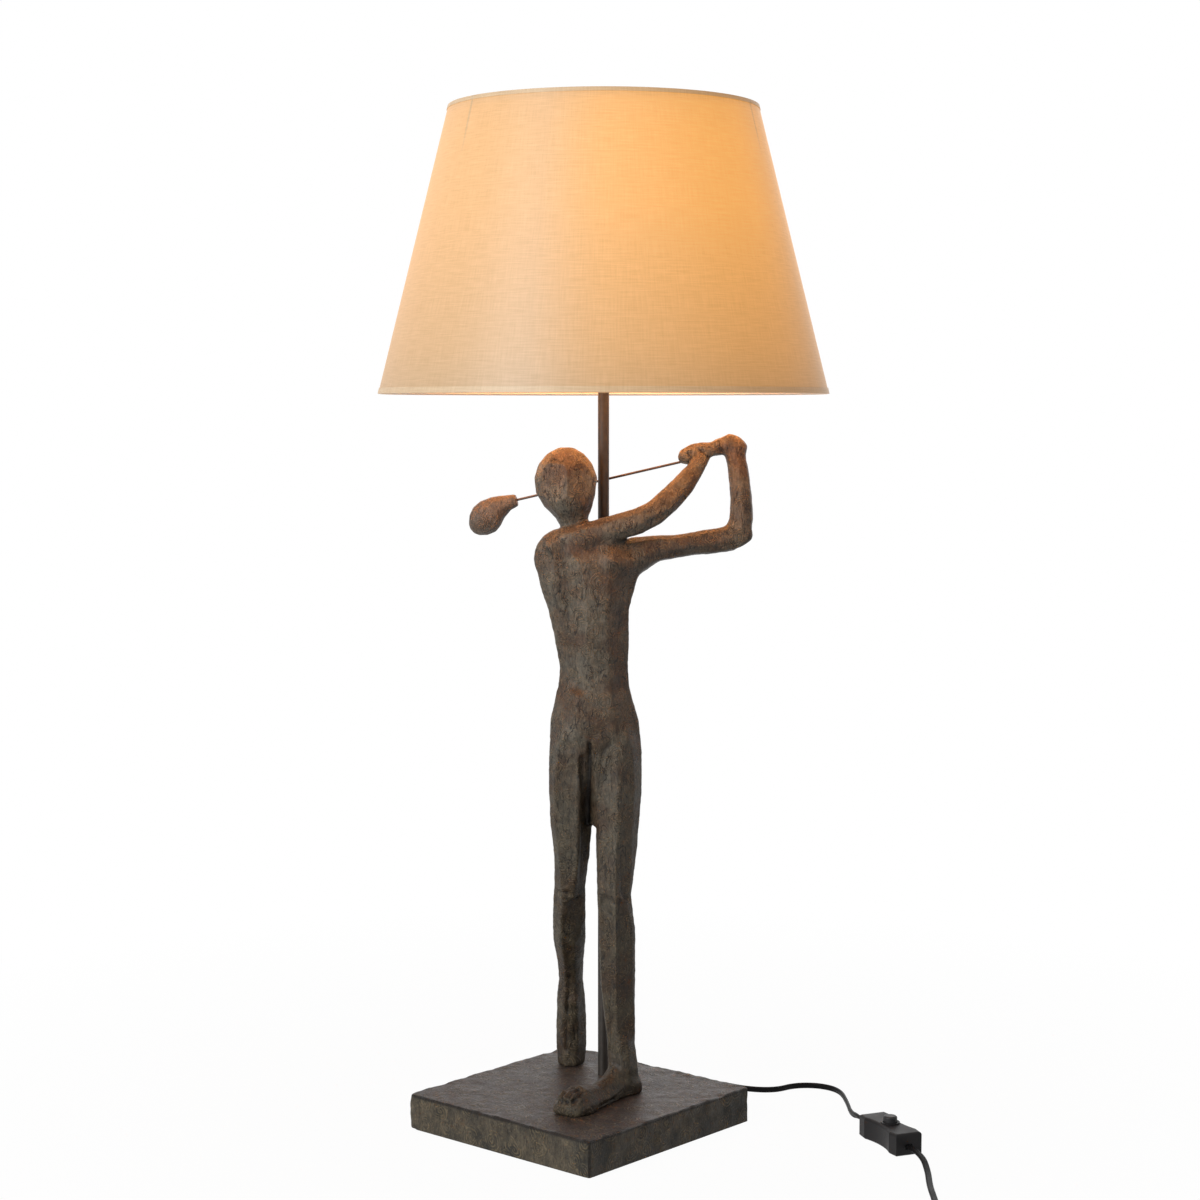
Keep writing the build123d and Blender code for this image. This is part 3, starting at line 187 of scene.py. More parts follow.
def cleft(piece, start, end, half_width, depth):
    """Press a V straight back into the golfer along a line, all in mm. It grows from narrow and
    shallow to its full size."""
    points = read_rows(piece.data, "co")
    forward = np.array(FORWARD)
    share, out = beside_line(points, start, end)
    ahead = out @ forward
    beside = np.linalg.norm(out - ahead[:, None] * forward, axis=1)
    grown = CLEFT_START + (1 - CLEFT_START) * share
    near = np.clip(1 - beside / (half_width * MM * grown), 0, 1) * (np.abs(ahead) < CLEFT_REACH)
    points -= (near * grown * depth * MM)[:, None] * forward
    write_points(piece.data, points)


def pared(piece, cuts):
    """Cut flats: whatever stands out beyond a flat, within reach of its middle line, is taken
    back to it. Each cut has the line's two ends, which way the flat faces in degrees from
    straight ahead towards the golfer's left, and its reach in mm."""
    points = read_rows(piece.data, "co")
    for start, end, turned, reach in cuts:
        out = beside_line(points, start, end)[1]
        away = np.linalg.norm(out, axis=1) / (reach * MM)
        facing = np.array(TO_HIS_LEFT * sin(radians(turned)) + FORWARD * cos(radians(turned)))
        points -= (np.maximum(out @ facing, 0)
                   * np.clip((1 - away) / FLAT_FADE, 0, 1))[:, None] * facing
    write_points(piece.data, points)


# ---------------------------------------------------------------- material helpers
def finish_nodes(name):
    """A new finish: the material, its nodes and its shader."""
    material = bpy.data.materials.new(name)
    material.use_nodes = True
    tree = material.node_tree
    return material, tree, tree.nodes["Principled BSDF"]


def feed(tree, node, inputs):
    """Link each input that is given a socket, and set any other."""
    for key, value in inputs.items():
        if isinstance(value, bpy.types.NodeSocket):
            tree.links.new(value, node.inputs[key])
        else:
            node.inputs[key].default_value = value


def put(tree, kind, inputs=None, **settings):
    """A shader node with its inputs."""
    node = tree.nodes.new(kind)
    for key, value in settings.items():
        setattr(node, key, value)
    feed(tree, node, inputs or {})
    return node


def maths(tree, operation, a, b=0.0, c=0.0):
    return put(tree, "ShaderNodeMath", {0: a, 1: b, 2: c}, operation=operation).outputs[0]


def times(tree, a, b):
    return maths(tree, "MULTIPLY", a, b)


def vector_maths(tree, operation, *inputs, gives="Vector"):
    return put(tree, "ShaderNodeVectorMath", dict(enumerate(inputs)),
               operation=operation).outputs[gives]


def ramp(tree, value, *stops):
    """A colour ramp through (position, colour) stops; a number stands for a grey."""
    node = put(tree, "ShaderNodeValToRGB", {"Fac": value})
    band = node.color_ramp.elements
    for i, (position, colour) in enumerate(stops):
        element = band[i] if i < 2 else band.new(position)
        element.position = position
        if isinstance(colour, (int, float)):
            colour = (colour, colour, colour)
        element.color = (*colour, 1)
    return node.outputs["Color"]


def noise(tree, coords, scale, detail=3.0, roughness=0.5, distortion=0.0):
    return put(tree, "ShaderNodeTexNoise",
               {"Vector": coords, "Scale": scale, "Detail": detail, "Roughness": roughness,
                "Distortion": distortion}).outputs["Fac"]


def mixed(tree, share, a, b, blend="MIX"):
    return put(tree, "ShaderNodeMix", {0: share, 6: a, 7: b}, data_type="RGBA",
               blend_type=blend).outputs[2]


def object_coords(tree):
    return put(tree, "ShaderNodeTexCoord").outputs["Object"]


def split_xyz(tree, vector):
    return put(tree, "ShaderNodeSeparateXYZ", {0: vector}).outputs


def bump(tree, height, strength, distance, normal=None):
    inputs = {"Height": height, "Strength": strength, "Distance": distance}
    if normal is not None:
        inputs["Normal"] = normal
    return put(tree, "ShaderNodeBump", inputs).outputs["Normal"]


def rgb(red, green, blue):
    """A linear colour from one written as 0 to 255 on screen."""
    return tuple((c / 255 / 12.92 if c <= 10 else ((c / 255 + 0.055) / 1.055) ** 2.4)
                 for c in (red, green, blue))


def rgba(red, green, blue):
    return (*rgb(red, green, blue), 1.0)


def dress(names, material):
    """Give CAD nodes or pieces their finish."""
    for item in names:
        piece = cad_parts[item] if isinstance(item, str) else item
        piece.data.materials.clear()
        piece.data.materials.append(material)


# ---------------------------------------------------------------- the cord
CORD_WIDTH = 5.4 * MM
CORD_THICKNESS = 3.2 * MM
CORD_FLOOR = CORD_THICKNESS / 2  # the height of its middle where it lies flat
CORE_SINK = 0.72  # where the groove between the cores meets them, as a share of their reach
CORE_CORNERS = 9
UV_PER_METRE = 10
LAID_FLAT = 12.0  # mm at each end of its stretch to the switch
TURNS_OVER = 30.0  # the mm after that in which it turns on edge
ON_EDGE = radians(80)
TURN_PITCH = CORD_WIDTH + 0.5 * MM
COIL_INNER = 22 * MM
HALF_TURNS = 6
COIL_OUTER = COIL_INNER + HALF_TURNS * TURN_PITCH / 2
UPPER_LAYER = CORD_FLOOR + CORD_THICKNESS + 0.6 * MM
PLUG_ENTRY = 6.85 * MM  # how high the cord goes into the plug
COIL_CENTRE = figure_point(224.3, 322, 0)


def coil_point(to_left, away, height):
    """A point by its place in the coil, in metres."""
    return COIL_CENTRE + TO_HIS_LEFT * to_left - FORWARD * away + UP * height


# The route's points in millimetres, as the cord lies
TO_SWITCH = [(0, 76.85, 5.5), (0, 95.5, 5.5), (14.5, 119.5, 1.6), (41.9, 124.5, 1.6),
             (67.4, 127.8, 1.6), (88.2, 142, 1.6), (92, 166.8, 1.6), (110.5, 182, 1.6),
             (134.5, 180.5, 1.6), (162, 153.2, 1.6), (184.4, 127.4, 1.6), (207.54, 108.33, 7.5),
             (228.09, 97.99, 7.5)]
TO_COIL = [(284.91, 69.41, 7.5), (305.46, 59.07, 7.5), (325.6, 38.5, 1.6), (346.2, 9.6, 1.6),
           (370, -18.6, 1.6)]


def nurbs_line(name, points):
    """A spline whose control points are the route's points."""
    curve = bpy.data.curves.new(name, "CURVE")
    curve.dimensions = "3D"
    curve.resolution_u = 12
    spline = curve.splines.new("NURBS")
    spline.points.add(len(points) - 1)
    for place, point in zip(spline.points, points):
        place.co = (*point, 1)
    spline.order_u = 3
    spline.use_endpoint_u = True
    return curve


def points_of(curve):
    """The points along a spline with no bevel."""
    holder = bpy.data.objects.new(curve.name, curve)
    mesh = bpy.data.meshes.new_from_object(holder)
    points = [v.co.copy() for v in mesh.vertices]
    bpy.data.objects.remove(holder)
    bpy.data.meshes.remove(mesh)
    return points


def coil_route():
    """Control points of the coil: in by half turns, up a layer, and out again above."""
    steps = 8  # points in each half turn
    swell = 1 / cos(pi / steps / 2)  # the spline runs inside its control points
    route = [coil_point(COIL_OUTER, 29 * MM, CORD_FLOOR),
             coil_point(COIL_OUTER, 9 * MM, CORD_FLOOR)]
    x, way = COIL_OUTER, 1
    turns = [COIL_OUTER - k * TURN_PITCH / 2 for k in range(HALF_TURNS)]
    turns += [COIL_INNER]
    turns += [COIL_INNER + (k + 1) * TURN_PITCH / 2 for k in range(HALF_TURNS - 1)]
    turns += [COIL_OUTER]
    for number, radius in enumerate(turns):
        centre = x - way * radius
        last = number == len(turns) - 1
        for k in range(steps // 2 if last else steps):
            turn = (k + 0.5) * pi / steps
            share = turn / pi if number == HALF_TURNS else float(number > HALF_TURNS)
            height = CORD_FLOOR + share * (UPPER_LAYER - CORD_FLOOR)
            route.append(coil_point(centre + way * radius * swell * cos(turn),
                                    -way * radius * swell * sin(turn), height))
        x -= 2 * way * radius
        way = -way
    for to_left, height in ((-5.4, UPPER_LAYER), (-14, UPPER_LAYER), (-24, PLUG_ENTRY),
                            (-34, PLUG_ENTRY)):  # the tail, to the plug
        route.append(coil_point(to_left * MM, -COIL_OUTER, height))
    return route


def cord_section():
    """Outline of the flat cord: two round cores side by side."""
    core = CORD_THICKNESS / 2
    reach = CORD_WIDTH / 2 - core
    groove = asin(sqrt(core ** 2 - (CORE_SINK * reach) ** 2) / core)
    outline = []
    for side in (1, -1):
        for k in range(CORE_CORNERS):
            turn = -pi + groove + k * (2 * pi - 2 * groove) / (CORE_CORNERS - 1)
            outline.append((side * (reach + core * cos(turn)), side * core * sin(turn)))
    return outline


def sweep_cord(name, points, twist=None):
    """A cord along points, with the line of its middle. It lies flat but for a twist given by
    the place along it."""
    section = cord_section()
    lengths = [0.0]
    for a, b in zip(points, points[1:]):
        lengths.append(lengths[-1] + (b - a).length)
    verts, faces, corners = [], [], len(section)
    path = []
    for i, point in enumerate(points):
        way = (points[min(i + 1, len(points) - 1)] - points[max(i - 1, 0)]).normalized()
        across = way.cross(UP).normalized()
        over = across.cross(way).normalized()
        turn = twist(point) if twist else 0.0
        lift = (abs(cos(turn)) * CORD_THICKNESS + abs(sin(turn)) * CORD_WIDTH) / 2
        raised = point + UP * (lift - CORD_THICKNESS / 2)
        path.append(raised)
        for u, v in section:
            verts.append(raised + across * (u * cos(turn) - v * sin(turn))
                         + over * (u * sin(turn) + v * cos(turn)))
    for i in range(len(points) - 1):
        for k in range(corners):
            a, b = i * corners + k, i * corners + (k + 1) % corners
            faces.append((a, b, b + corners, a + corners))
    faces.append(tuple(range(corners))[::-1])
    faces.append(tuple((len(points) - 1) * corners + k for k in range(corners)))
    mesh = bpy.data.meshes.new(name)
    mesh.from_pydata(verts, [], faces)
    along = mesh.uv_layers.new(name="along")
    for face in mesh.polygons:
        for corner in face.loop_indices:
            vertex = mesh.loops[corner].vertex_index
            along.data[corner].uv = ((vertex % corners) / corners,
                                     lengths[vertex // corners] * UV_PER_METRE)
    mesh.update()
    piece = mesh_piece(name, mesh)
    only(piece)
    bpy.ops.object.mode_set(mode="EDIT")
    bpy.ops.mesh.select_all(action="SELECT")
    bpy.ops.mesh.normals_make_consistent(inside=False)
    bpy.ops.object.mode_set(mode="OBJECT")
    smooth(piece, 50)
    return piece, path


def on_edge(point):
    """The cord turns on its edge soon after it leaves the plinth, and lies flat again before
    the switch."""
    away = min((point / MM - Vector(end)).length for end in (TO_SWITCH[0], TO_SWITCH[-1]))
    return ON_EDGE * min(1, max(0, away - LAID_FLAT) / TURNS_OVER)


def make_cords():
    first = nurbs_line("route_to_switch", [Vector(p) * MM for p in TO_SWITCH])
    second = nurbs_line("route_to_plug", [Vector(p) * MM for p in TO_COIL] + coil_route())
    cord_a, path_a = sweep_cord("cord_to_switch_skin", points_of(first), on_edge)
    cord_b, path_b = sweep_cord("cord_to_plug_skin", points_of(second))
    for piece in (cord_a, cord_b):
        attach(piece, "lamp")
    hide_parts("cord_to_switch")
    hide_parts("cord_to_coil", "cord_coil", "cord_to_plug")
    return [cord_a, cord_b]


cords = make_cords()


# ---------------------------------------------------------------- the golfer
# Worked into the casting: both ends of each stroke as (side, front, height), its radius,
# and how far it pushes the surface out or, where negative, in
FORMS = [
    ((-54, 36, 512), (-46, 38, 524), 20, 2.0),  # the shoulder's cap
    ((118, 12, 608), (121, 13, 604), 13, 4.0),  # the back of the top hand
    ((125, 30, 516), (131, 27, 521), 12, 3.2),  # the raised arm's elbow
    ((8, 58, 505), (20, 54, 500), 15, 3.4),  # the chest below the raised arm
    ((-29, 22, 178), (-29.6, -16, 104), 11, -2.2),  # down the rear shin
]
# Where one form runs into the next without a crease
MELTED = [((-58, 36, 505), 28), ((-42, 42, 520), 20), ((40, 44, 500), 20), ((-8, 40, 530), 14),
          ((-36, 54, 513), 16), ((-22, 58, 514), 18), ((-8, 58, 515), 18), ((8, 57, 513), 18),
          ((114, 12, 611), 8),
          ((-30, 50, 364), 26), ((12, 54, 364), 26), ((-44, 36, 364), 20), ((26, 38, 364), 20),
          ((-9, 60, 345), 16), ((-9, 56, 322), 16), ((-9, 54, 298), 16), ((-9, 50, 278), 12),
          ((-25, 14, 364), 28), ((12, 14, 364), 28)]
BODY_STROKES = [
    ((-9.5, 62, 350), (-24, 60, 362), 6, -0.8),  # where the belly ends
    ((-9.5, 62, 350), (6, 60, 362), 6, -0.7),
    ((-36, 59, 495), (-33, 54, 452), 6, -0.6),  # beside the planes of the chest
    ((-33, 54, 452), (-28, 50, 400), 6, -0.6),
    ((-46, 26, 193), (-20, 26, 191), 3.2, -0.9),  # under the knees
    ((0, 66, 194), (22, 64, 192), 3.2, -0.9),
    ((58, 46, 548), (66, 40, 560), 6, 1.3),  # the reaching arm's elbow
    ((40, 54, 536), (52, 50, 542), 4, -0.9),
    ((70, 36, 560), (84, 24, 582), 4, -0.7),
    ((44, 42, 505), (100, 34, 512), 4, -0.7),  # along the raised arm
    ((110, 30, 520), (126, 26, 530), 5, 0.9),
    ((118, 24, 548), (117, 22, 584), 4, -0.7),
]
# Flats: the ends of each one's middle line, which way it faces, and its reach
CUTS = [
    ((-29, 58, 510), (-18, 53, 400), -32, 17),  # the torso
    ((8, 61, 486), (6, 58, 400), 22, 15),
    ((-22, 55.5, 590), (-24, 55.5, 552), 26, 20),  # the head
    ((-42, 56, 592), (-40, 56, 552), -22, 20),
    ((7, 60.5, 335), (5, 66, 214), -28, 11),  # the front leg
    ((20, 60, 335), (19, 60, 214), 35, 11),
    ((4, 64, 200), (5, 63, 90), -38, 11),
    ((17.5, 64, 200), (18.5, 63, 90), 33, 11),
    ((-18, 55, 328), (-18, 27, 212), 40, 8),  # the rear leg
    ((-33, 58, 335), (-35, 34, 212), -14, 12),
    ((-26, 24, 196), (-26, -6, 112), 26, 9),
]
# Cracks and clefts
EDGES = [
    ((-46, 26, 207), (-34, 34, 205), 3.0, -1.4),  # over the knees
    ((-34, 34, 205), (-18, 26, 203), 3.0, -1.3),
    ((-3, 62, 209), (8, 70, 203), 3.0, -1.3),
    ((8, 70, 203), (25, 57, 208), 3.0, -1.2),
    ((-35, -22, 84), (-34, -22, 48), 3.0, -2.2),  # splits down the rear foot
    ((-25, -23, 96), (-26, -22, 58), 2.6, -1.8),
    ((-31, -12, 118), (-33, -20, 84), 2.6, -1.8),
    ((17, 69, 165), (17, 69, 120), 2.6, -1.6),  # beside the front shin's edge
    ((4, 65, 130), (5, 64, 78), 2.6, -1.6),
    ((84, 17, 600), (92, 16, 592), 2.8, -2.2),  # between the hands
    ((74, 15, 596), (80, 16, 588), 2.4, -1.4),
    ((98, 17, 603), (104, 17, 596), 2.8, -1.8),
]
# The front foot: its heel, which way it points, how high its toes are, and how far across it
# they and their gaps lie
FOOT_HEEL = (18.0, 58.0)
FOOT_TURN = radians(135)
FOOT_TOP = 49.0
TOES = (-12.0, -6.2, -0.6, 5.0, 10.6)
TOE_GAPS = (-9.0, -3.4, 2.2, 7.8)
# How it is bent inwards, from behind its ankle to its instep. The instep is lowered, and what
# lies before it is drawn in, broadened and thickened towards the toes.
BEND_START = 4.0
INSTEP = 40.0
TOE_RUN = 30.0  # from the instep to where the foot has all its breadth
ANKLE = 78.0  # the height above which the leg stays as it is
ANKLE_FADE = 16.0
BENT_IN = radians(9)
DRAWN_IN = 0.90
LOWERED = 0.30
THICKENED = 0.22
BROADENED = 0.18


def foot_point(along, across, height):
    """A place on the front foot, as (side, front, height)."""
    return (FOOT_HEEL[0] + along * cos(FOOT_TURN) + across * sin(FOOT_TURN),
            FOOT_HEEL[1] + along * sin(FOOT_TURN) - across * cos(FOOT_TURN), height)


def toe_bumps():
    """Strokes for the arch, the heel and the toes."""
    bumps = [(foot_point(30, 14, 36), foot_point(58, 15, 34), 5, -2.2),  # under the arch
             (foot_point(2, -14, 36), foot_point(-8, -11, 36), 5, 1.0)]
    for across in TOES:
        bumps.append((foot_point(84, across, FOOT_TOP - 4), foot_point(91, across, 43), 3.8, 2.2))
    return bumps


def toe_gaps():
    """Strokes between the toes."""
    return [(foot_point(74, across * 0.85, FOOT_TOP), foot_point(97, across, 41), 2.9, -3.4)
            for across in TOE_GAPS]


def bend_foot(skin):
    """Turn the front foot inwards, shorten and broaden its front, and lower its instep."""
    heel = figure_point(*FOOT_HEEL, 0)
    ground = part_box("plinth")[1][2]
    for vertex in skin.data.vertices:
        out = vertex.co - heel
        side, front = out.dot(TO_HIS_LEFT), out.dot(FORWARD)
        along = (side * cos(FOOT_TURN) + front * sin(FOOT_TURN)) / MM
        if along < BEND_START or vertex.co.z > ANKLE * MM:
            continue
        across = side * sin(FOOT_TURN) - front * cos(FOOT_TURN)
        low = min(1, (ANKLE - vertex.co.z / MM) / ANKLE_FADE)
        far = min(1, (along - BEND_START) / (INSTEP - BEND_START))
        fore = min(1, max(0, along - INSTEP) / TOE_RUN)
        across *= 1 + BROADENED * low * fore
        along = (along - (1 - DRAWN_IN) * low * max(0, along - INSTEP)) * MM
        turned = FOOT_TURN - BENT_IN * low * far
        vertex.co += (TO_HIS_LEFT * (along * cos(turned) + across * sin(turned) - side)
                      + FORWARD * (along * sin(turned) - across * cos(turned) - front))
        change = THICKENED * fore - LOWERED * min(1, 2 * far) * (1 - fore)
        vertex.co.z += change * max(0, vertex.co.z - ground)


def copied_skin(node, voxel, smoothing):
    """The node's own shape in small even faces, to be worked on."""
    skin = copy_of_node(node, node + "_skin")
    apply_modifier(skin, "REMESH", mode="VOXEL", voxel_size=voxel)
    apply_modifier(skin, "SMOOTH", factor=0.5, iterations=smoothing)
    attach(skin, "lamp")
    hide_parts(node)
    return skin


def roughened(skin, texture, height, **settings):
    """Raise and sink the surface by a texture, by height in all."""
    apply_modifier(skin, "DISPLACE", texture=texture, strength=height, mid_level=0.5,
                   texture_coords="LOCAL", **settings)


def melted(skin, places):
    """Smooth away the creases round some places: each a point in the golfer's directions and
    a radius, in mm."""
    group = skin.vertex_groups.new(name="melted")
    centres = [(figure_point(*point), radius * MM) for point, radius in places]
    for vertex in skin.data.vertices:
        share = max(1 - (vertex.co - centre).length / radius for centre, radius in centres)
        if share > 0:
            group.add([vertex.index], min(1, 2 * share), "REPLACE")
    apply_modifier(skin, "SMOOTH", factor=0.5, iterations=40, vertex_group="melted")


def make_golfer():
    skin = copied_skin("golfer_casting", voxel=0.0015, smoothing=4)
    worked_strokes(skin, FORMS)
    melted(skin, MELTED)
    pared(skin, CUTS)
    cleft(skin, (-11.8, 60, 343), (-12.6, 51, 272), 7.5, 11)  # between the thighs
    worked_strokes(skin, BODY_STROKES + toe_bumps())
    worked_strokes(skin, EDGES + toe_gaps(), sharp=True)
    bend_foot(skin)
    roughened(skin, lumps("hand_worked", "CLOUDS", 0.034), 0.0009)
    roughened(skin, lumps("tool_marks", "VORONOI", 0.012, distance_metric="DISTANCE_SQUARED"),
              0.0005)
    roughened(skin, lumps("bark", "CLOUDS", 0.0040), 0.0006)
    smooth(skin)
    return skin


def make_club_head():
    skin = copied_skin("club_head", voxel=0.0010, smoothing=6)
    roughened(skin, lumps("club_marks", "CLOUDS", 0.010), 0.0008)
    smooth(skin)
    return skin


WAVE_BAND = 0.012  # how far in from the plinth's sides its waves are strongest
TOP_WAVES = 0.3  # their share on the rest of its top
WAVES_FROM, WAVES_FADE = 0.002, 0.012  # above its underside
WORN_RADIUS = 0.012  # of its worn corner
TOP_EDGE, UPRIGHT_EDGE = 0.0042, 0.0030  # how broad its darkened edges are


def wave_weights(skin, low, high):
    """1 round the plinth's edges, less on its top, and 0 underneath."""
    group = skin.vertex_groups.new(name="waves")
    for vertex in skin.data.vertices:
        x, y, z = vertex.co
        inward = min(x - low[0], high[0] - x, y - low[1], high[1] - y)
        weight = TOP_WAVES + (1 - TOP_WAVES) * max(0.0, 1 - max(inward, 0) / WAVE_BAND)
        risen = min(1, max(0, (z - low[2] - WAVES_FROM) / WAVES_FADE))
        group.add([vertex.index], weight * risen, "REPLACE")


def mark_rim(skin, low, high):
    """Where the plinth's edges are, for its finish: 1 on them, 0 a few millimetres away."""
    rim = []
    for vertex in skin.data.vertices:
        x, y, z = vertex.co
        beside, before = min(x - low[0], high[0] - x), min(y - low[1], high[1] - y)
        to_top = Vector((max(0, min(beside, before)), high[2] - z)).length
        to_corner = Vector((max(0, beside), max(0, before))).length
        rim.append(max(0.0, 1 - to_top / TOP_EDGE, 1 - to_corner / UPRIGHT_EDGE))
    skin.data.attributes.new("rim", "FLOAT", "POINT").data.foreach_set("value", rim)


def make_plinth():
    skin = copy_of_node("plinth", "plinth_skin")
    apply_modifier(skin, "REMESH", mode="SHARP", octree_depth=7, scale=0.99, sharpness=1.0,
                   use_remove_disconnected=False)
    low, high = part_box("plinth")
    group = skin.vertex_groups.new(name="worn_corner")
    for vertex in skin.data.vertices:
        for height in (low[2], high[2]):
            far = (vertex.co - Vector((low[0], low[1], height))).length
            if far < WORN_RADIUS:
                group.add([vertex.index], min(1, 2 - 2 * far / WORN_RADIUS), "REPLACE")
    apply_modifier(skin, "SMOOTH", factor=0.5, iterations=7, vertex_group="worn_corner")
    wave_weights(skin, low, high)
    roughened(skin, lumps("plinth_waves", "CLOUDS", 0.024), 0.0040, vertex_group="waves")
    roughened(skin, lumps("plinth_marks", "VORONOI", 0.012), 0.0010, vertex_group="waves")
    mark_rim(skin, low, high)
    smooth(skin, 40)
    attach(skin, "lamp")
    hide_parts("plinth")
    return skin


golfer = make_golfer()
club_head = make_club_head()
plinth = make_plinth()


# ---------------------------------------------------------------- the shade
SHADE_BOTTOM = 648.1 * MM
SHADE_TOP = 899.3 * MM
BOTTOM_RADIUS = 200.0 * MM
TOP_RADIUS = 137.1 * MM
SLOPE = (BOTTOM_RADIUS - TOP_RADIUS) / (SHADE_TOP - SHADE_BOTTOM)
CLOTH = 0.7 * MM
LINING = 0.3 * MM
TAPE = 0.6 * MM  # how far in from the tapes' outside the cloth lies
TAPE_FOLD = 2.2 * MM  # the tape goes round the edge of cloth and lining
TOP_TAPE = 3.4 * MM
BOTTOM_TAPE = 5.0 * MM
SEAM_REACH = 8 * MM  # half the lap's breadth
SHADE_SIDES = 144


def cone_radius(height):
    return BOTTOM_RADIUS - SLOPE * (height - SHADE_BOTTOM)


def cone_band(name, low, high, outside, thickness, rows):
    """An open band of the shade's cone, with its outside that far inside the cone."""
    deselect()
    bpy.ops.mesh.primitive_cone_add(vertices=SHADE_SIDES, end_fill_type="NOTHING",
                                    radius1=cone_radius(low) - outside,
                                    radius2=cone_radius(high) - outside,
                                    depth=high - low, location=(0, 0, (low + high) / 2))
    band = named(name)
    bpy.ops.object.mode_set(mode="EDIT")
    bpy.ops.mesh.select_all(action="DESELECT")
    bpy.ops.object.mode_set(mode="OBJECT")
    for edge in band.data.edges:
        a, b = (band.data.vertices[i].co.z for i in edge.vertices)
        edge.select = abs(a - b) > (high - low) / 2
    bpy.ops.object.mode_set(mode="EDIT")
    bpy.ops.mesh.subdivide_edgering(number_cuts=rows, smoothness=0)
    bpy.ops.object.mode_set(mode="OBJECT")
    apply_modifier(band, "SOLIDIFY", thickness=thickness, offset=-1, use_even_offset=True)
    smooth(band, 40)
    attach(band, "shade")
    return band


def make_seam():
    """The lap where the cloth's two ends are glued, up the back."""
    lap = cone_band("shade_seam", SHADE_BOTTOM + BOTTOM_TAPE + 0.2 * MM,
                    SHADE_TOP - TOP_TAPE - 0.2 * MM, -0.1 * MM, 0.6 * MM, 8)
    only(lap)
    bpy.ops.object.mode_set(mode="EDIT")
    mesh = bmesh.from_edit_mesh(lap.data)
    far = [v for v in mesh.verts if abs(v.co.y) > SEAM_REACH or v.co.x > 0]
    bmesh.ops.delete(mesh, geom=far, context="VERTS")
    bmesh.ops.holes_fill(mesh, edges=mesh.edges, sides=0)
    bmesh.update_edit_mesh(lap.data)
    bpy.ops.object.mode_set(mode="OBJECT")
    return lap


def make_shade():
    cloth = cone_band("shade_linen", SHADE_BOTTOM + TAPE, SHADE_TOP - TAPE, TAPE, CLOTH, 24)
    top_tape = cone_band("top_tape", SHADE_TOP - TOP_TAPE, SHADE_TOP, 0, TAPE_FOLD, 2)
    bottom_tape = cone_band("bottom_tape", SHADE_BOTTOM, SHADE_BOTTOM + BOTTOM_TAPE, 0,
                            TAPE_FOLD, 3)
    lining = cone_band("shade_lining", SHADE_BOTTOM + TAPE, SHADE_TOP - TAPE, TAPE + CLOTH,
                       LINING, 24)
    for piece, node, slot in ((cloth, "shade_cloth", "linen"),
                              (lining, "shade_cloth", "linen"),
                              (top_tape, "shade_top_hem", "hem_tape"),
                              (bottom_tape, "shade_bottom_hem", "hem_tape")):
        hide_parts(node)
    return cloth, lining, [top_tape, bottom_tape]


seam = make_seam()
linen_cloth, lining, tapes = make_shade()


# ---------------------------------------------------------------- finishes
def warped(tree, coords, scale, reach):
    """Coordinates pushed about by noise."""
    push = put(tree, "ShaderNodeTexNoise", {"Vector": coords, "Scale": scale, "Detail": 2.0})
    centred = vector_maths(tree, "SUBTRACT", push.outputs["Color"], (0.5, 0.5, 0.5))
    return vector_maths(tree, "MULTIPLY_ADD", centred, (reach,) * 3, coords)


def stamps(tree, coords, facing, cell, pitch):
    """Spirals stamped side by side into each face: how high their lines stand, 0 to 1."""
    x, y, z = split_xyz(tree, warped(tree, coords, 70, 0.011))
    across, along, upward = (maths(tree, "ABSOLUTE", part) for part in split_xyz(tree, facing))
    side_on = maths(tree, "GREATER_THAN", across, along)
    flat_on = maths(tree, "GREATER_THAN", upward, 0.75)
    upright_u = put(tree, "ShaderNodeMix", {0: side_on, 2: x, 3: y}).outputs[0]
    u = put(tree, "ShaderNodeMix", {0: flat_on, 2: upright_u, 3: x}).outputs[0]
    v = put(tree, "ShaderNodeMix", {0: flat_on, 2: z, 3: y}).outputs[0]
    u = maths(tree, "ADD", u, times(tree, side_on, 0.731))
    face = put(tree, "ShaderNodeCombineXYZ", {0: u, 1: v, 2: 0.0}).outputs[0]
    cells = put(tree, "ShaderNodeTexVoronoi", {"Vector": face, "Scale": 1 / cell,
                                               "Randomness": 0.9}, voronoi_dimensions="2D")
    du, dv, _ = split_xyz(tree, vector_maths(tree, "SUBTRACT", face, cells.outputs["Position"]))
    turn = maths(tree, "ARCTAN2", dv, du)
    pick = split_xyz(tree, cells.outputs["Color"])
    handed = maths(tree, "SUBTRACT",
                   times(tree, maths(tree, "GREATER_THAN", pick[0], 0.5), 2.0), 1.0)
    reach = times(tree, cells.outputs["Distance"], cell * 2 * pi / pitch)
    wave = maths(tree, "SINE", maths(tree, "ADD", reach, times(tree, turn, handed)))
    line = put(tree, "ShaderNodeMapRange", {"Value": wave, "From Min": -0.2, "From Max": 0.8},
               interpolation_type="SMOOTHSTEP").outputs["Result"]
    inside = put(tree, "ShaderNodeMapRange",
                 {"Value": cells.outputs["Distance"], "From Min": 0.58, "From Max": 0.40},
                 interpolation_type="SMOOTHSTEP").outputs["Result"]
    stamped = maths(tree, "GREATER_THAN", pick[1], 0.22)
    rubbed_away = ramp(tree, noise(tree, coords, 150, 3, 0.6), (0.42, 0.15), (0.56, 1.0))
    return times(tree, times(tree, line, inside), times(tree, stamped, rubbed_away))


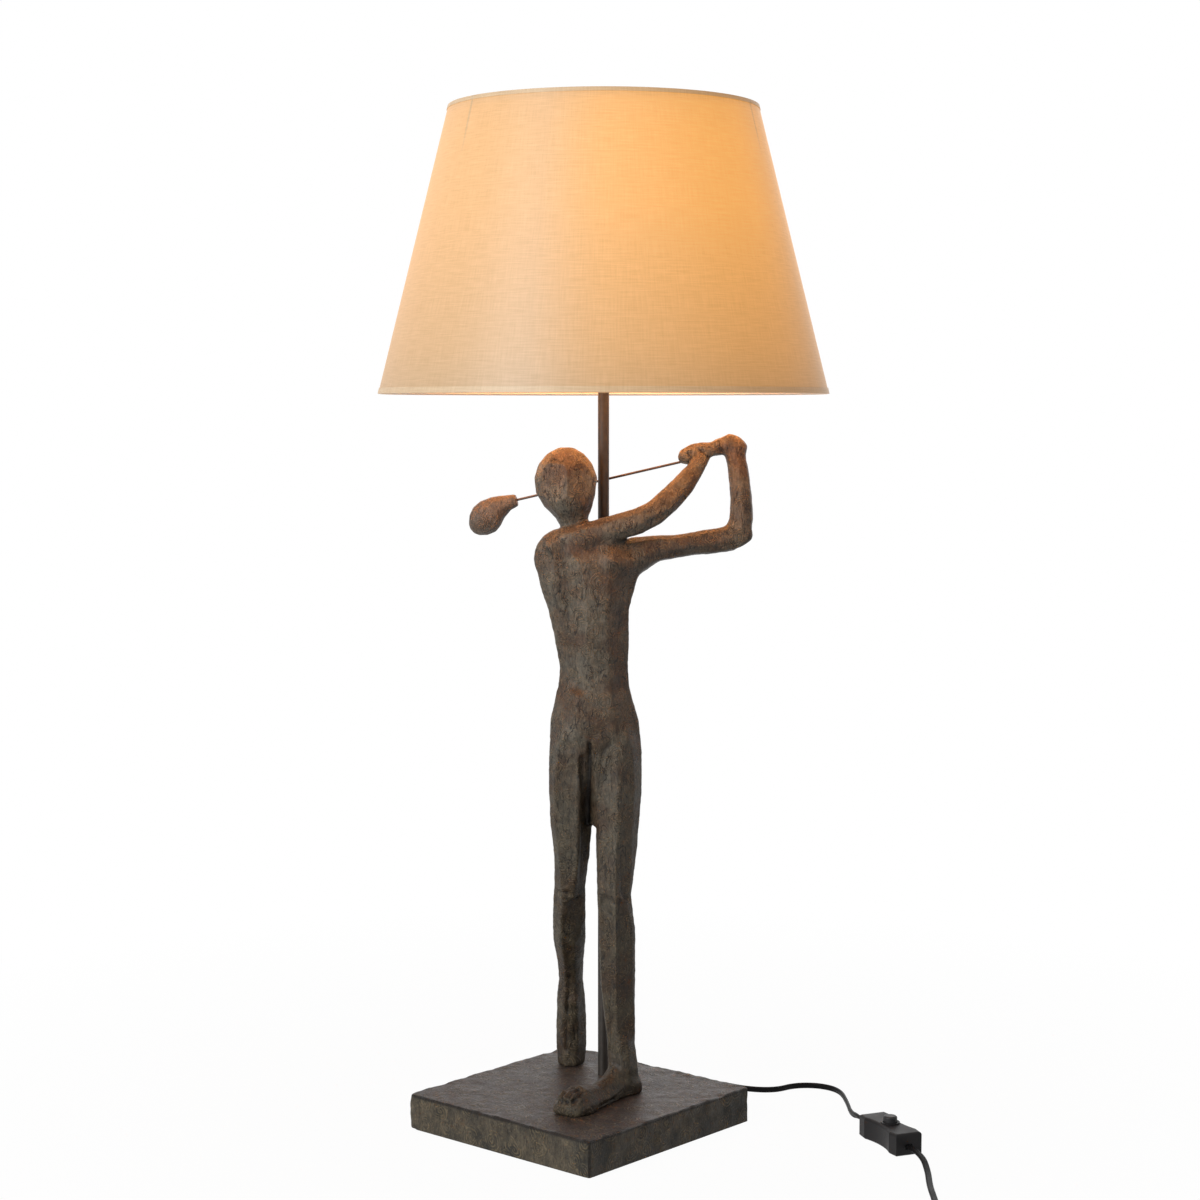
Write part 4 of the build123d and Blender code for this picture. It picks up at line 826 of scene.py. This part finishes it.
def crackle(tree, coords, size, stretch):
    """Fine cracks where a stretched noise passes its middle, 0 to 1."""
    placed = put(tree, "ShaderNodeMapping", {"Vector": warped(tree, coords, 60, 0.006),
                                             "Scale": (size, size, size / stretch)}).outputs[0]
    even = maths(tree, "ABSOLUTE", maths(tree, "SUBTRACT", noise(tree, placed, 1.0, 3, 0.6, 0.5),
                                         0.5))
    return ramp(tree, even, (0.004, 1.0), (0.022, 0.0))


# Near black for pits and cracks, and for the painted shade in hollows
PIT_AND_SHADE = (19, 16, 14)
SPIRAL, SPIRAL_PITCH = 0.0150, 0.0024  # the golfer's stamps: their cells and their lines
PLINTH_SPIRAL, PLINTH_PITCH = 0.0190, 0.0030
# Painted light on the golfer by height in metres: painted shade darker below, and painted
# lamplight lighter at the top near the shade
HEIGHT_LIGHTING = ((0.16, (0.60, 0.56, 0.48)), (0.42, 1.0), (0.55, 1.0), (0.61, 1.4))


def bronze_resin(name, brown, grey, top_lighting, fleck, turned, cell, pitch, stamped, cracked, wax,
                 rim=0.0):
    """Wax-polished patina over cast resin, with painted light and shade. It runs from brown to
    grey, with flecks where the relief is rubbed, near black in pits and cracks, painted shade
    near black in hollows, a painted light tone on what faces up, and spirals stamped in it.
    turned is for what faces as the golfer does, and brings painted light by height; stamped and
    cracked say how strongly stamps and cracks show, and rim how dark marked edges are."""
    material, tree, surface = finish_nodes(name)
    coords = object_coords(tree)
    facing = put(tree, "ShaderNodeTexCoord").outputs["Normal"]
    if turned:
        coords, facing = (put(tree, "ShaderNodeMapping", {
            "Vector": vector, "Rotation": (0, 0, -radians(FACING))}).outputs[0]
            for vector in (coords, facing))
    lines = stamps(tree, coords, facing, cell, pitch)
    cloud = noise(tree, coords, 38, 3, 0.55)
    mottle = noise(tree, coords, 120, 6, 0.68, 0.3)
    speck = noise(tree, coords, 560, 4, 0.7, 0.6)
    streaked = put(tree, "ShaderNodeMapping", {"Vector": warped(tree, coords, 90, 0.004),
                                               "Scale": (520, 520, 130)}).outputs[0]
    bark = noise(tree, streaked, 1.0, 4, 0.65, 0.8)
    cracks = times(tree, crackle(tree, coords, 130, 3.0),
                   ramp(tree, noise(tree, coords, 55, 2, 0.5), (0.38, 0.0), (0.50, 1.0)))
    tone = mixed(tree, ramp(tree, cloud, (0.38, 0.0), (0.60, 1.0)), rgba(*brown), rgba(*grey))
    # painted light: what faces up takes its own tone, for the light falling on tops
    upward = split_xyz(tree, facing)[2]
    tone = mixed(tree, ramp(tree, upward, (0.45, 0.0), (0.85, 1.0)), tone, rgba(*top_lighting))
    # painted light by height: darker below, lighter near the shade
    if turned:
        tone = mixed(tree, 1.0, tone, ramp(tree, split_xyz(tree, coords)[2], *HEIGHT_LIGHTING),
                     "MULTIPLY")
    for pattern, low, high in ((mottle, 0.72, 1.22), (bark, 0.58, 1.36)):
        tone = mixed(tree, 1.0, tone, ramp(tree, pattern, (0.33, low), (0.50, 0.96),
                                           (0.66, high)), "MULTIPLY")
    flecks = times(tree, ramp(tree, speck, (0.56, 0.0), (0.66, 1.0)),
                   ramp(tree, mottle, (0.42, 0.10), (0.60, 0.70)))
    tone = mixed(tree, flecks, tone, rgba(*fleck))
    tone = mixed(tree, times(tree, lines, stamped), tone, rgba(*fleck))
    bend = put(tree, "ShaderNodeNewGeometry").outputs["Pointiness"]
    pits = ramp(tree, speck, (0.33, 0.75), (0.42, 0.0))
    # painted shade: near black where the surface is hollow, by its pointiness
    painted_hollow_shade = ramp(tree, bend, (0.45, 0.9), (0.495, 0.0))
    darks_and_painted_shade = maths(tree, "MAXIMUM", maths(tree, "MAXIMUM", pits, painted_hollow_shade),
                 times(tree, cracks, cracked))
    if rim:
        edges = put(tree, "ShaderNodeAttribute", attribute_name="rim").outputs["Fac"]
        darks_and_painted_shade = maths(tree, "MAXIMUM", darks_and_painted_shade,
                     times(tree, ramp(tree, edges, (0.25, 0.0), (0.65, 1.0)), rim))
    relief = None
    for height, strength, distance in (
            (cloud, 0.4, 0.002), (mottle, 0.3, 0.0012), (bark, 0.45, 0.0008),
            (speck, 0.55, 0.0006), (lines, 0.8, 0.0007),
            (maths(tree, "SUBTRACT", 1.0, cracks), 0.6, 0.0006 * cracked)):
        relief = bump(tree, height, strength, distance, relief)
    feed(tree, surface, {"Base Color": mixed(tree, darks_and_painted_shade, tone, rgba(*PIT_AND_SHADE)),
                         "Roughness": ramp(tree, mottle, (0.35, 0.36), (0.65, 0.54)),
                         "Specular IOR Level": wax, "Normal": relief})
    return material


def dark_metal(name, colour, roughness):
    """Steel under a thin brown patina."""
    material, tree, surface = finish_nodes(name)
    tone = noise(tree, object_coords(tree), 160, 4, 0.6)
    dark = tuple(0.6 * c for c in rgb(*colour))
    feed(tree, surface, {"Base Color": ramp(tree, tone, (0.35, dark), (0.65, rgb(*colour))),
                         "Metallic": 0.3, "Roughness": roughness,
                         "Normal": bump(tree, tone, 0.4, 0.0006)})
    return material


def plain_metal(name, colour, roughness):
    """Bare or plated metal with a fine grain."""
    material, tree, surface = finish_nodes(name)
    grain = noise(tree, object_coords(tree), 700, 2, 0.5)
    dark = tuple(0.85 * c for c in rgb(*colour))
    feed(tree, surface, {"Base Color": ramp(tree, grain, (0.3, dark), (0.7, rgb(*colour))),
                         "Metallic": 1.0, "Roughness": roughness,
                         "Normal": bump(tree, grain, 0.2, 0.0001)})
    return material


# The colour of painted lamplight: emission standing in for the bulb's light
PAINTED_LAMPLIGHT = (1.0, 0.42, 0.14, 1)  # on what the bulb lights from near by


def moulded(name, colour, roughness, pale=1.25, shine=0.2, painted_glow=0.0):
    """Moulded plastic, rubber or enamel with a fine grain. The glow given is painted lamplight:
    emission standing in for the bulb's light that it gives back."""
    material, tree, surface = finish_nodes(name)
    coords = object_coords(tree)
    grain = noise(tree, coords, 1500, 2, 0.5)
    cloud = noise(tree, coords, 60, 3, 0.5)
    paler = tuple(min(1, pale * c) for c in rgb(*colour))
    feed(tree, surface, {"Base Color": ramp(tree, cloud, (0.35, rgb(*colour)), (0.7, paler)),
                         "Roughness": ramp(tree, cloud, (0.3, roughness),
                                           (0.7, roughness + 0.08)),
                         "Specular IOR Level": shine, "Emission Color": PAINTED_LAMPLIGHT,
                         "Emission Strength": painted_glow,
                         "Normal": bump(tree, grain, 0.25, 0.00012)})
    return material


def felt():
    material, tree, surface = finish_nodes("pressed_felt")
    fuzz = noise(tree, object_coords(tree), 1400, 4, 0.7)
    feed(tree, surface, {"Base Color": ramp(tree, fuzz, (0.3, rgb(24, 26, 24)),
                                            (0.7, rgb(48, 50, 46))),
                         "Roughness": 0.95, "Normal": bump(tree, fuzz, 0.7, 0.0005)})
    return material


MEAN_RADIUS = 0.17  # of the shade, where the weave has its true scale
THREADS, SLUBS = 800, 45  # how often the weave changes in a metre, across and along a thread
# Painted glow on the shade: emission for the light coming through it, strongest on one side
BULB_LEANS = radians(-22)  # the side of the shade that the bulb shines on most
# How strong the painted light is round the shade, from 0 opposite that side to 1 on it
LEANING_GLOW = ((0.30, 0.80), (0.68, 0.78), (0.85, 0.72), (0.95, 0.97), (1.0, 1.0))
# Painted shadows of the spider's arms, at these turns round the shade near its top
ARM_SHADOWS = [radians(turn) for turn in (17.3, 137.3, 257.3)]
# the colour of the painted light through the linen
PAINTED_LIGHT_THROUGH_LINEN = (1.0, 0.39, 0.02, 1)
# How strong the painted light is up the cloth and up its tapes, from 0 at the bottom to 1 at the
# top
CLOTH_GLOW = ((0.0, 0.36), (0.04, 0.44), (0.14, 0.54), (0.39, 0.70), (0.62, 0.83), (0.85, 0.85),
              (0.96, 0.80), (1.0, 0.6))
TAPE_GLOW = ((0.0, 0.26), (0.05, 0.28), (0.95, 0.35), (1.0, 0.30))


def linen(name, pale, dark, painted_glow):
    """Plain weave with slubs, and the lamp's light coming through it painted as emission, with
    painted shadows of the spider's arms near the top.
    """
    material, tree, surface = finish_nodes(name)
    x, y, z = split_xyz(tree, object_coords(tree))
    round_it = times(tree, maths(tree, "ARCTAN2", y, x), MEAN_RADIUS)
    flat = put(tree, "ShaderNodeCombineXYZ", {0: round_it, 1: z, 2: 0.0}).outputs[0]
    weft, warp = (put(tree, "ShaderNodeMapping", {"Vector": flat, "Scale": scale}).outputs[0]
                  for scale in ((SLUBS, THREADS, 1), (THREADS, SLUBS, 1)))
    weave = maths(tree, "ADD", times(tree, noise(tree, weft, 1.0, 3, 0.6), 0.6),
                  times(tree, noise(tree, warp, 1.0, 3, 0.6), 0.4))
    place = put(tree, "ShaderNodeMapRange", {"Value": z, "From Min": SHADE_BOTTOM,
                                             "From Max": SHADE_TOP}).outputs["Result"]
    out = vector_maths(tree, "NORMALIZE",
                       put(tree, "ShaderNodeCombineXYZ", {0: x, 1: y}).outputs[0])
    strength = times(tree, ramp(tree, weave, (0.32, 0.86), (0.68, 1.0)),
                     ramp(tree, place, *painted_glow))
    leaning = vector_maths(tree, "DOT_PRODUCT", out, (cos(BULB_LEANS), sin(BULB_LEANS), 0),
                           gives="Value")
    strength = times(tree, strength, ramp(tree, maths(tree, "MULTIPLY_ADD", leaning, 0.5, 0.5),
                                          *LEANING_GLOW))
    # painted shadows of the spider's arms
    for arm in ARM_SHADOWS:
        over = vector_maths(tree, "DISTANCE", out, (cos(arm), sin(arm), 0), gives="Value")
        shadow = times(tree, ramp(tree, over, (0.003, 1.0), (0.016, 0.0)),
                       ramp(tree, place, (0.80, 0.0), (0.90, 0.28), (1.0, 0.34)))
        strength = times(tree, strength, maths(tree, "SUBTRACT", 1.0, shadow))
    feed(tree, surface, {"Base Color": ramp(tree, weave, (0.34, rgb(*dark)),
                                            (0.66, rgb(*pale))),
                         "Roughness": 0.46, "Specular IOR Level": 0.7,
                         "Emission Color": PAINTED_LIGHT_THROUGH_LINEN, "Emission Strength": strength,
                         "Normal": bump(tree, weave, 0.45, 0.0004)})
    return material


def bulb_glass():
    material, tree, surface = finish_nodes("frosted_bulb")
    cloud = noise(tree, object_coords(tree), 30, 2, 0.5)
    feed(tree, surface, {"Base Color": ramp(tree, cloud, (0.3, rgb(250, 232, 205)),
                                            (0.7, rgb(255, 240, 215))),
                         "Roughness": 0.5, "Emission Color": (1.0, 0.34, 0.10, 1),
                         "Emission Strength": 28})
    return material


def dress_everything():
    dress([golfer], bronze_resin(
        "golfer_patina_and_painted_light", brown=(68, 54, 42), grey=(85, 80, 70), top_lighting=(72, 59, 47),
        fleck=(124, 108, 84), turned=True, cell=SPIRAL, pitch=SPIRAL_PITCH, stamped=0.30,
        cracked=0.9, wax=0.23))
    dress([club_head], bronze_resin(
        "club_head_patina_and_painted_light", brown=(86, 71, 58), grey=(96, 88, 80), top_lighting=(90, 74, 61),
        fleck=(130, 115, 98), turned=True, cell=SPIRAL, pitch=SPIRAL_PITCH, stamped=0.15,
        cracked=0.3, wax=0.25))
    dress([plinth], bronze_resin(
        "plinth_patina_and_painted_light", brown=(48, 46, 41), grey=(80, 73, 61), top_lighting=(56, 48, 45),
        fleck=(124, 111, 86), turned=False, cell=PLINTH_SPIRAL, pitch=PLINTH_PITCH,
        stamped=0.45, cracked=0.4, wax=0.16, rim=0.85))
    dress(["support_rod"], dark_metal("brown_rod", (47, 41, 35), 0.5))
    dress(["club_shaft"], dark_metal("browned_shaft", (74, 56, 46), 0.45))
    dress(["plinth_felt"], felt())
    dress(["rod_washer", "rod_nut", "figure_screws", "switch_screws"],
          plain_metal("zinc_steel", (190, 190, 188), 0.35))
    dress(["lampholder_cap", "lampholder_sleeve", "lower_ring_nut", "upper_ring_nut"],
          moulded("holder_moulding", (34, 33, 32), 0.35))
    dress(["lampholder_core"], moulded("holder_ceramic", (226, 222, 210), 0.5, 1.05))
    dress(["lampholder_screw_shell", "lampholder_contact", "bulb_contact"],
          plain_metal("contact_brass", (205, 170, 100), 0.3))
    dress(["bulb_cap"], plain_metal("bulb_cap_metal", (205, 205, 200), 0.3))
    dress(["bulb_collar"], moulded("bulb_collar_moulding", (235, 233, 226), 0.4, 1.03))
    dress(["bulb_globe"], bulb_glass())
    dress([linen_cloth, seam], linen("shade_linen_painted_glow", (152, 145, 128), (134, 127, 109),
                                     CLOTH_GLOW))
    # The lining's glow is painted lamplight, for the bulb's light on it
    dress([lining], moulded("white_laminate_painted_glow", (240, 236, 226), 0.5, 1.02, painted_glow=3.0))
    dress(tapes, linen("hem_tape_painted_glow", (186, 174, 150), (166, 152, 128), TAPE_GLOW))
    dress(["shade_bottom_ring", "shade_spider"],
          moulded("white_enamel", (222, 220, 212), 0.4, 1.04))
    dress(cords + ["lead_in_rod", "strain_relief"],
          moulded("cord_cover", (17, 17, 18), 0.42, shine=0.07))
    dress(["switch_lower_shell", "switch_upper_shell"],
          moulded("switch_moulding", (26, 25, 26), 0.45, shine=0.16))
    dress(["switch_button"], moulded("button_moulding", (38, 38, 39), 0.4))
    dress(["plug_body"], moulded("plug_moulding", (40, 40, 41), 0.45))
    dress(["plug_pins"], plain_metal("nickel_pins", (200, 198, 190), 0.25))


dress_everything()


# ---------------------------------------------------------------- floor, backdrop and light
def seen_directly(tree):
    """1 for what is seen straight, in a reflection or through glass."""
    path = put(tree, "ShaderNodeLightPath").outputs
    either = maths(tree, "MAXIMUM", path["Is Camera Ray"], path["Is Glossy Ray"])
    return maths(tree, "MAXIMUM", either, path["Is Transmission Ray"])


LAMP_MIDDLE = Vector((0, 0, 0.45))
AMBIENT = 0.20  # the world's light on the object
PAPER = (0.6, 0.6, 0.6, 1)
WHITE = (1, 1, 1, 1)


def make_floor():
    """White paper where it is seen, whose shadow under the lamp still shows."""
    deselect()
    bpy.ops.mesh.primitive_plane_add(size=16)
    floor = named("studio_floor")
    material = bpy.data.materials.new("white_paper")
    material.use_nodes = True
    tree = material.node_tree
    tree.nodes.clear()
    away = vector_maths(tree, "LENGTH", object_coords(tree), gives="Value")
    far = put(tree, "ShaderNodeMapRange", {"Value": away, "From Min": 0.25, "From Max": 0.9,
                                           "To Min": 0.97, "To Max": 1.0}).outputs["Result"]
    share = times(tree, far, seen_directly(tree))
    paper = put(tree, "ShaderNodeBsdfDiffuse", {"Color": PAPER})
    lit = put(tree, "ShaderNodeEmission", {"Color": WHITE, "Strength": 1.0})
    both = put(tree, "ShaderNodeMixShader", {0: share, 1: paper.outputs[0], 2: lit.outputs[0]})
    put(tree, "ShaderNodeOutputMaterial", {"Surface": both.outputs[0]})
    floor.data.materials.append(material)


def make_world():
    """Dim light all round on the object, and plain white behind it."""
    world = bpy.data.worlds.new("studio")
    world.use_nodes = True
    bpy.context.scene.world = world
    tree = world.node_tree
    tree.nodes.clear()
    ambient = put(tree, "ShaderNodeBackground", {"Color": WHITE, "Strength": AMBIENT})
    white = put(tree, "ShaderNodeBackground", {"Color": WHITE, "Strength": 1.0})
    both = put(tree, "ShaderNodeMixShader", {0: seen_directly(tree), 1: ambient.outputs[0],
                                             2: white.outputs[0]})
    put(tree, "ShaderNodeOutputWorld", {"Surface": both.outputs[0]})


def soft_box(name, place, size, power):
    """A rectangle of light that faces the middle of the lamp."""
    light = bpy.data.lights.new(name, "AREA")
    light.shape = "RECTANGLE"
    light.size, light.size_y = size
    light.energy = power
    holder = bpy.data.objects.new(name, light)
    holder.location = place
    holder.rotation_euler = (LAMP_MIDDLE - place).to_track_quat("-Z", "Y").to_euler()
    bpy.context.scene.collection.objects.link(holder)


make_floor()
make_world()
soft_box("key_left", figure_point(-1600, 1680, 1000), size=(1.4, 1.9), power=52)
soft_box("fill_behind", figure_point(500, -2400, 900), size=(1.6, 1.6), power=6)

bpy.context.scene.view_settings.view_transform = "Standard"
